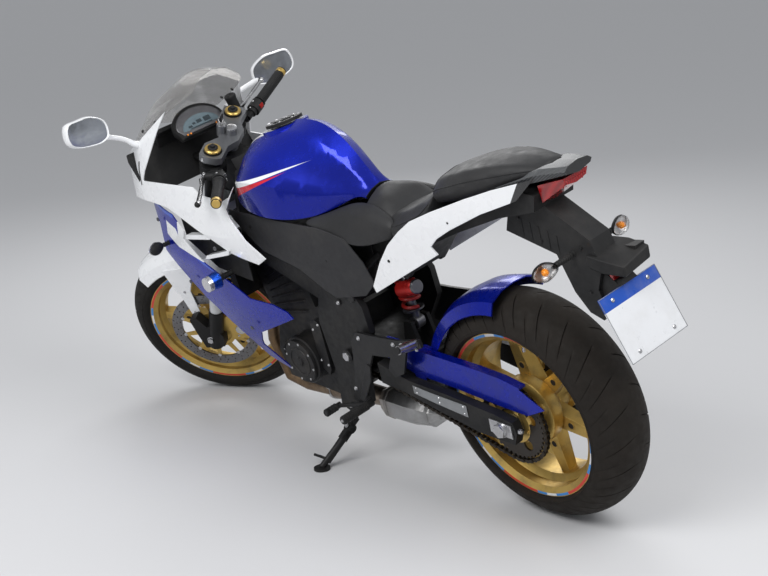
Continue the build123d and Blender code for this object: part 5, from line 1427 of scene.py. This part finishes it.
# Swingarm: grey scuff plate with rivets, adjuster blocks and axle nuts
scuff = Shape().prism([(118, 352), (250, 358), (318, 364), (318, 340), (240, 330), (118, 318)], 149.1, 151.0)
make("swingarm_scuff_plate", "chassis", plate_grey, scuff, bevel=0.6)
rivets = Shape()
for x, z in ((130, 346), (130, 325), (306, 358), (306, 344), (220, 350), (220, 335)):
    rivets.spin([(0.3, 0), (3.4, 0), (2.4, 1.6), (0.3, 2.0)], (x, 151.0, z), (0, 1, 0), 16)
make("scuff_rivets", "chassis", silver, rivets)
adjust = Shape().prism([(-36, 334), (38, 338), (40, 300), (-36, 296)], 149.1, 153.0)
adjust.rod((-62, 139, 316), (-34, 139, 316), 4.0, sides=12).hexagon((-50, 139, 316), (-1, 0, 0), 13.0, 7.0)
for k in range(5):
    adjust.prism([(8 + 5 * k, 333), (9 + 5 * k, 333), (9 + 5 * k, 327), (8 + 5 * k, 327)], 152.8, 153.4)
adjust.mirrored()
make("chain_adjusters", "chassis", silver, adjust, bevel=0.8)
axle_ends = Shape().hexagon((0, 153.0, 315), (0, 1, 0), 34.0, 12.0)
axle_ends.spin([(9.2, 0), (21.5, 0), (21.5, 2.0), (9.2, 2.0)], (0, 152.2, 315), (0, 1, 0), 32)
axle_ends.drum((0, -153.0, 315), (0, -1, 0), 19.0, 6.5)
make("rear_axle_nuts", "chassis", silver, axle_ends)

# Pivot plates: caps and bolts
pivot_trim = Shape()
for x, y, z, r in ((585, 144.2, 392, 19.0), (566, 138.2, 300, 9.0), (492, 138.2, 474, 9.0), (640, 138.2, 215, 8.0),
                   (566, 138.2, 560, 8.0), (505, 138.2, 585, 14.0)):
    pivot_trim.spin([(0.4, 0), (r, 0), (r, 3.0), (r * 0.8, 5.0), (0.4, 5.0)], (x, y, z), (0, 1, 0), 28)
pivot_trim.mirrored()
make("pivot_trim", "chassis", bracket_dark, pivot_trim)
pivot_heads = Shape()
for x, z in ((640, 215), (566, 560)):
    pivot_heads.bolt((x, 143.0, z), (0, 1, 0), 5.0)
pivot_heads.hexagon((585, 149.0, 392), (0, 1, 0), 24.0, 5.0)
pivot_heads.mirrored()
make("pivot_bolts", "chassis", silver, pivot_heads)

# Engine: cover rims, bolts, fins on the block and a filler plug
cover_trim = Shape()
cover_bolts = Shape()
for x, z, r, y, side, count in ((812, 330, 70.0, 160.0, 1, 8), (790, 330, 82.0, 160.0, -1, 9),
                                (905, 312, 42.0, 122.0, 1, 5), (905, 312, 42.0, 122.0, -1, 5)):
    at = Vector((x, side * (y - 14.0), z))
    out_dir = Vector((0, side, 0))
    cover_trim.spin([(r - 2, -10), (r + 5.5, -10), (r + 5.5, 2.0), (r + 2.0, 5.0), (r - 2, 5.0)], at, out_dir, 60)
    face = Vector((x, side * y, z))
    cover_trim.spin([(r * 0.55, -0.5), (r * 0.66, -0.5), (r * 0.64, 2.0), (r * 0.57, 2.0)], face, out_dir, 48)
    cover_trim.spin([(0.4, -0.5), (r * 0.2, -0.5), (r * 0.18, 3.0), (0.4, 3.6)], face, out_dir, 36)
    for i in range(count):
        a = math.tau * (i + 0.3) / count
        cover_bolts.bolt(face + Vector((r * 0.86 * math.cos(a), -side * 1.2, r * 0.86 * math.sin(a))), out_dir, 4.0)
make("engine_cover_rims", "chassis", engine_dark, cover_trim)
make("engine_cover_bolts", "chassis", silver, cover_bolts)
fins = Shape()
for i in range(7):
    k = i / 6.0
    x0, z0 = 790.0 + 10.0 * k, 470.0 + 200.0 * k
    x1, z1 = 960.0 + 12.0 * k, 440.0 + 130.0 * k
    for side in (-1, 1):
        root = [(x, side * 97.0, z) for x, z in ((x0, z0), (x1, z1), (x1, z1 + 4), (x0, z0 + 4))]
        edge = [(x, side * 104.0, z) for x, z in ((x0 + 6, z0), (x1 - 6, z1), (x1 - 6, z1 + 3), (x0 + 6, z0 + 3))]
        fins.loft([root, edge])
make("cylinder_ribs", "chassis", engine_dark, fins)
plug = Shape().drum((860, -128.0, 420), (0, -1, 0), 16.0, 12.0, 2.0, 12).rod((860, -97, 420), (860, -130, 420), 12.0)
make("oil_plug", "chassis", engine_dark, plug)
cover_heads = Shape()
for at in ((706, 136.0, 460), (706, 136.0, 330), (735, 136.2, 440), (735, 136.2, 340)):
    cover_heads.bolt(at, (0, 1, 0), 3.6)
make("sprocket_cover_bolts", "chassis", silver, cover_heads)

# Radiator: core fins and header tanks
FINS = 34
core_fins = Shape()
for i in range(FINS):
    k = (i + 0.5) / FINS
    x, z = 1057.0 + 16.0 * k, 508.0 + 176.0 * k
    core_fins.prism([(x, z), (x + 3.0, z), (x + 3.0, z + 1.6), (x, z + 1.6)], -138, 138)
for y in (-139.0, 139.0):
    core_fins.rod((1052, y, 506), (1066, y, 688), 11.0)
make("radiator_core", "chassis", gunmetal, core_fins)

# Exhaust: joint clamps, outlet lip, a black disc in the bore painted as its shade and soot, silencer bands
joints = Shape()
for at, r in (((884.0, 8.0, 152.1), 39.5), ((642.0, 0.4, 164.4), 28.0)):
    joints.spin([(r - 2.0, -7.0), (r + 2.4, -7.0), (r + 2.4, 7.0), (r - 2.0, 7.0)], at, (1, 0.03, -0.05), 48)
make("exhaust_clamps", "chassis", silver, joints, bevel=0.8)
OUTLET = Vector((372, -150, 212))
lip_dir = (OUTLET - Vector((440, -108, 190))).normalized()
lip = Shape().spin([(20.0, -6.0), (27.4, -6.0), (28.0, -1.0), (26.0, 1.0), (20.0, 1.0)], OUTLET, lip_dir, 40)
make("outlet_lip", "chassis", silver, lip)
# Black disc just inside the outlet: painted shade of the hollow bore, with its soot.
bore_shade = Shape().spin([(0.4, 0.3), (20.6, 0.3), (20.6, 0.9), (0.4, 0.9)], OUTLET, lip_dir, 40)
make("outlet_bore_shade", "chassis", plastic, bore_shade)
SILENCER = (
    # x, right y, left y, low z, high z, corner cut
    (636, -88, 46, 138, 204, 18),
    (600, -96, 62, 130, 224, 22),
    (540, -98, 62, 130, 226, 24),
    (500, -150, 62, 132, 226, 24),
    (420, -146, 50, 140, 220, 24),
    (396, -120, 30, 156, 206, 16),
)


def silencer_ring(x, grow):
    """Outline of the silencer's section at x, larger by grow."""
    for (x0, *a), (x1, *b) in zip(SILENCER[:-1], SILENCER[1:]):
        if x1 <= x <= x0:
            k = (x - x0) / (x1 - x0)
            yr, yl, zl, zh, c = (p + (q - p) * k for p, q in zip(a, b))
            yr, yl, zl, zh = yr - grow, yl + grow, zl - grow, zh + grow
            return [(x, yr, zl + c), (x, yr + c, zl), (x, yl - c, zl), (x, yl, zl + c), (x, yl, zh - c),
                    (x, yl - c, zh), (x, yr + c, zh), (x, yr, zh - c)]


bands = Shape()
for x in (592.0, 428.0):
    bands.loft([silencer_ring(x - 5.0, 1.6), silencer_ring(x + 5.0, 1.6)])
make("silencer_bands", "chassis", silencer_metal, bands, bevel=0.8)

# Headlamps: bowls and bulbs behind the lenses, and a dark plate behind them
bowls = Shape()
bulbs = Shape()
for side in (-1, 1):
    for y, z, r, x in ((74.0, 862.0, 26.0, 1478.0), (126.0, 878.0, 24.0, 1448.0)):
        at = Vector((x, side * y, z))
        forward = Vector((1.0, side * 0.15, 0.0)).normalized()
        bowls.spin([(3.0, -34.0), (r * 0.6, -26.0), (r * 0.85, -14.0), (r, 0.0), (r - 1.6, 0.0), (r * 0.8, -13.0),
                    (r * 0.55, -24.0), (3.0, -31.0)], at, forward, 36)
        bulbs.spin([(0.3, -32.0), (5.0, -30.0), (5.0, -14.0), (0.3, -10.0)], at, forward, 20)
make("lamp_bowls", "chassis", mirror_glass, bowls)
make("lamp_bulbs", "chassis", clear_lens, bulbs)
lamp_back = Shape().loft([[(1418, y, z) for y, z in ((-166, 812), (166, 812), (178, 900), (0, 930), (-178, 900))],
                          [(1424, y, z) for y, z in ((-160, 816), (160, 816), (170, 896), (0, 924), (-170, 896))]])
make("lamp_housing", "chassis", plastic, lamp_back)

# Tail lamp: two rows of small lights, shown as raised dots
dots = Shape()
for u in range(-4, 5):
    for x, z, facing in ((-263.0, 958.0, (-1, 0, 0.15)), (-250.5, 942.6, (-0.6, 0, -0.8))):
        dots.spin([(0.3, -1.0), (2.6, -1.0), (1.8, 0.6), (0.3, 1.0)], (x, u * 8.0, z), facing, 12)
make("tail_lamp_dots", "chassis", reflector_red, dots)

# Foot rests: ribbed rubber on the rider's pegs, bright pillion pegs, lever tips and hanger bolts
peg = Shape()
ribs = [(9.0, 0.0)]
for i in range(12):
    y = 6.0 + 7.4 * i
    ribs += [(11.2, y), (13.2, y + 1.2), (13.2, y + 4.6), (11.2, y + 5.8)]
ribs += [(12.6, 96.0), (9.0, 99.0)]
peg.spin(ribs, (520, 164, 262), (0, 1, 0), 24)
toe = Shape().spin([(8.0, 0), (11.6, 0), (11.6, 5), (10.4, 7), (11.6, 9), (11.6, 14), (10.4, 16), (11.6, 18),
                    (11.6, 24), (10.4, 26), (11.6, 28), (11.6, 38), (9.0, 41), (8.0, 41)],
                   (650, 186, 232), (0, 1, 0), 20)
for shape, name in ((peg, "rider_peg_rubbers"), (toe, "lever_tip_rubbers")):
    shape.mirrored()
    make(name, "chassis", plastic, shape)
pillion_peg = Shape().tube([(250, 158, 509), (247, 192, 515.4), (244.2, 222, 521)], [11.2, 13.0, 11.6], 18)
pillion_peg.bolt((250, 159.0, 490), (0, 1, 0), 4.4)
pillion_peg.mirrored()
make("pillion_pegs", "chassis", silver, pillion_peg, bevel=1.0)
heel = Shape().prism([(508, 360), (556, 268), (540, 262), (486, 340), (470, 390), (484, 396)], 159.2, 162.0)
heel.mirrored()
make("heel_guards", "chassis", bracket_dark, heel, bevel=0.8)
hang_bolts = Shape()
for x, z in ((492, 474), (566, 300), (345, 486), (310, 492)):
    hang_bolts.bolt((x, 159.2, z), (0, 1, 0), 5.4)
hang_bolts.bolt((520, 262.0, 262), (0, 1, 0), 4.0)
hang_bolts.mirrored()
make("hanger_step_bolts", "chassis", silver, hang_bolts)

# Calipers: pistons' caps, pins, bleed screws and a bridge bolt
caliper_trim = Shape()
for side in (-1, 1):
    for x, z in ((1316, 352), (1336, 300)):
        caliper_trim.drum((x, side * 93.8, z), (0, side, 0), 17.0, 3.0, 1.0, 32)
    caliper_trim.bolt((1352, side * 94.0, 278), (0, side, 0), 4.2)
    caliper_trim.bolt((1336, side * 94.0, 374), (0, side, 0), 4.2)
    caliper_trim.rod((1306, side * 86.0, 396), (1304, side * 86.0, 408), 3.2, 2.4)
make("front_caliper_trim", "steering", silver_steered, caliper_trim, True)
rear_trim = Shape().drum((88, -103.8, 402), (0, -1, 0), 15.0, 3.0, 1.0, 32)
rear_trim.bolt((60, -104.0, 384), (0, -1, 0), 4.0).bolt((114, -104.0, 420), (0, -1, 0), 4.0)
make("rear_caliper_trim", "chassis", silver, rear_trim)

# Filler cap: ring of screws and the lock flap
cap_trim = Shape()
CAP_TILT = math.radians(12.0)
cap_up = Vector((math.sin(CAP_TILT), 0, math.cos(CAP_TILT)))
cap_fwd = Vector((math.cos(CAP_TILT), 0, -math.sin(CAP_TILT)))
cap_at = Vector((800.0, 0, 1014.0))
for i in range(7):
    a = math.tau * (i + 0.5) / 7
    p = cap_at + cap_up * 7.9 + cap_fwd * 44.0 * math.cos(a) + Vector((0, 44.0 * math.sin(a), 0))
    if cap_fwd.dot(p - cap_at) < 34.0:
        cap_trim.spin([(0.3, 0), (4.6, 0), (4.6, 1.6), (2.2, 2.4), (2.2, 1.0), (0.3, 1.0)], p, cap_up, 18)
make("cap_screws", "filler_cap", silver, cap_trim)
flap = Shape().spin([(0.3, 0), (10.0, 0), (10.0, 1.4), (8.6, 2.2), (0.3, 2.2)],
                    cap_at + cap_up * 11.0 - cap_fwd * 8.0, cap_up, 28)
make("cap_lock", "filler_cap", gunmetal, flap)

# Black duct walls behind the side fairings, and walls that close the sides under the tank
duct = Shape()
for side in (-1, 1):
    duct.loft([[(1210, side * 176, 800), (1210, side * 180, 800), (1196, side * 186, 680), (1196, side * 182, 680)],
               [(1060, side * 182, 800), (1060, side * 186, 800), (1050, side * 194, 612), (1050, side * 190, 612)],
               [(900, side * 176, 730), (900, side * 180, 730), (896, side * 186, 590), (896, side * 182, 590)]])
for side in (-1, 1):
    duct.prism([(446, 585), (640, 585), (640, 770), (560, 780), (446, 780)], side * 72.0, side * 75.0)
make("side_duct_walls", "chassis", plastic, duct, bevel=0.8)

# Bodywork fasteners
fasteners = Shape()
for x, y, z in ((1300, 208.0, 742), (1180, 228.0, 560), (940, 209.0, 440), (980, 228.5, 700)):
    for side in (-1, 1):
        fasteners.spin([(0.3, -2.0), (6.4, -2.0), (6.4, 1.0), (5.0, 2.0), (2.4, 2.0), (2.2, 0.8), (0.3, 0.8)],
                       (x, side * y, z), (0.02, side, 0), 20)
make("fairing_fasteners", "chassis", gunmetal, fasteners)
cover_screws = Shape()
for x, y, z in ((880, 154.5, 750), (560, 148.6, 690), (470, 138.0, 730), (440, 132.0, 640)):
    for side in (-1, 1):
        cover_screws.spin([(0.3, -2.0), (5.4, -2.0), (5.4, 1.0), (4.0, 1.8), (0.3, 1.8)], (x, side * y, z),
                          (0, side, 0), 20)
make("side_cover_screws", "chassis", plastic, cover_screws)
mud_bolts = Shape()
for side in (-1, 1):
    for x, z in ((1464, 392), (1462, 478)):
        mud_bolts.bolt((x, side * 83.8, z), (0, side, 0), 4.0)
make("mudguard_bolts", "steering", silver_steered, mud_bolts, True)

# Side stand: pivot bolt and leg sleeve
stand_pivot = Vector((662.0, 152.0, 140.0))
stand_pad = Vector((684.0, 268.0, 58.95))
stand_dir = (stand_pad - stand_pivot).normalized()
stand_axis = Vector((0.0608, 0.5635, 0.8239)).normalized()
bolt_shape = Shape().bolt(stand_pivot + stand_axis * 14.2, stand_axis, 5.4)
make("stand_bolt", "side_stand", silver, bolt_shape)
sleeve = Shape().tube([stand_pivot + stand_dir * 34.0, stand_pivot + stand_dir * 44.0, stand_pad - stand_dir * 26.0],
                      [12.4, 11.4, 10.0], 18)
make("stand_leg_sleeve", "side_stand", black_metal, sleeve)

# Stage: pale floor
FLOOR_HALF = 60.0
floor_mesh = bpy.data.meshes.new("floor")
floor_mesh.from_pydata([(x * FLOOR_HALF, y * FLOOR_HALF, 0) for x, y in ((-1, -1), (1, -1), (1, 1), (-1, 1))],
                       [], [(0, 1, 2, 3)])
floor = bpy.data.objects.new("floor", floor_mesh)
bpy.context.scene.collection.objects.link(floor)
floor_mat = bpy.data.materials.new("floor_paint")
floor_mat.use_nodes = True
floor_nt = floor_mat.node_tree
floor_bsdf = floor_nt.nodes["Principled BSDF"]
floor_noise = floor_nt.nodes.new("ShaderNodeTexNoise")
floor_noise.inputs["Scale"].default_value = 3.0
floor_mix = floor_nt.nodes.new("ShaderNodeMix")
floor_mix.data_type = "RGBA"
floor_mix.inputs[6].default_value = rgb(0.62, 0.62, 0.63)
floor_mix.inputs[7].default_value = rgb(0.66, 0.66, 0.67)
floor_nt.links.new(floor_noise.outputs["Fac"], floor_mix.inputs[0])
floor_nt.links.new(floor_mix.outputs[2], floor_bsdf.inputs["Base Color"])
floor_bsdf.inputs["Roughness"].default_value = 0.6
floor_mesh.materials.append(floor_mat)

# Soft studio light
world = bpy.data.worlds.new("studio")
bpy.context.scene.world = world
world.use_nodes = True
background = world.node_tree.nodes["Background"]
background.inputs["Color"].default_value = rgb(0.80, 0.82, 0.85)
background.inputs["Strength"].default_value = 0.55


def soft_light(name, place, size, power):
    """Light panel aimed at the machine's middle."""
    data = bpy.data.lights.new(name, "AREA")
    data.shape = "RECTANGLE"
    data.size = size[0]
    data.size_y = size[1]
    data.energy = power
    lamp = bpy.data.objects.new(name, data)
    lamp.location = place
    lamp.rotation_euler = (Vector((0.0, 0.0, 0.5)) - Vector(place)).to_track_quat("-Z", "Y").to_euler()
    bpy.context.scene.collection.objects.link(lamp)


soft_light("overhead_left", (-0.6, 2.6, 3.0), (2.4, 1.4), 85.0)
soft_light("overhead_tail", (-2.6, -0.4, 3.0), (1.4, 2.4), 60.0)
soft_light("front_fill", (2.4, -2.0, 2.4), (2.0, 1.6), 35.0)

# Camera at the photo's viewing angle; its focal length is given in photo pixels
FOCAL_PIXELS = 1354.02
PHOTO_WIDTH = 768.0
SENSOR_WIDTH = 36.0
CAMERA_AZIMUTH = math.radians(230.44)
CAMERA_ELEVATION = math.radians(15.58)
CAMERA_ROLL = math.radians(-4.09)
CAMERA_DISTANCE = 4.05242
CAMERA_TARGET = Vector((0.12128, -0.27569, 0.45))
back = Vector((math.sin(CAMERA_AZIMUTH) * math.cos(CAMERA_ELEVATION),
               -math.cos(CAMERA_AZIMUTH) * math.cos(CAMERA_ELEVATION), math.sin(CAMERA_ELEVATION)))
right = Vector((0, 0, 1)).cross(back).normalized()
upward = back.cross(right)
rolled_right = right * math.cos(CAMERA_ROLL) + upward * math.sin(CAMERA_ROLL)
rolled_up = right * -math.sin(CAMERA_ROLL) + upward * math.cos(CAMERA_ROLL)
camera_data = bpy.data.cameras.new("camera")
camera_data.sensor_width = SENSOR_WIDTH
camera_data.lens = SENSOR_WIDTH * FOCAL_PIXELS / PHOTO_WIDTH
camera = bpy.data.objects.new("camera", camera_data)
spot = CAMERA_TARGET + back * CAMERA_DISTANCE
camera.matrix_world = Matrix((
    (rolled_right.x, rolled_up.x, back.x, spot.x),
    (rolled_right.y, rolled_up.y, back.y, spot.y),
    (rolled_right.z, rolled_up.z, back.z, spot.z),
    (0.0, 0.0, 0.0, 1.0)))
bpy.context.scene.collection.objects.link(camera)
bpy.context.scene.camera = camera
bpy.context.scene.view_settings.view_transform = "Standard"
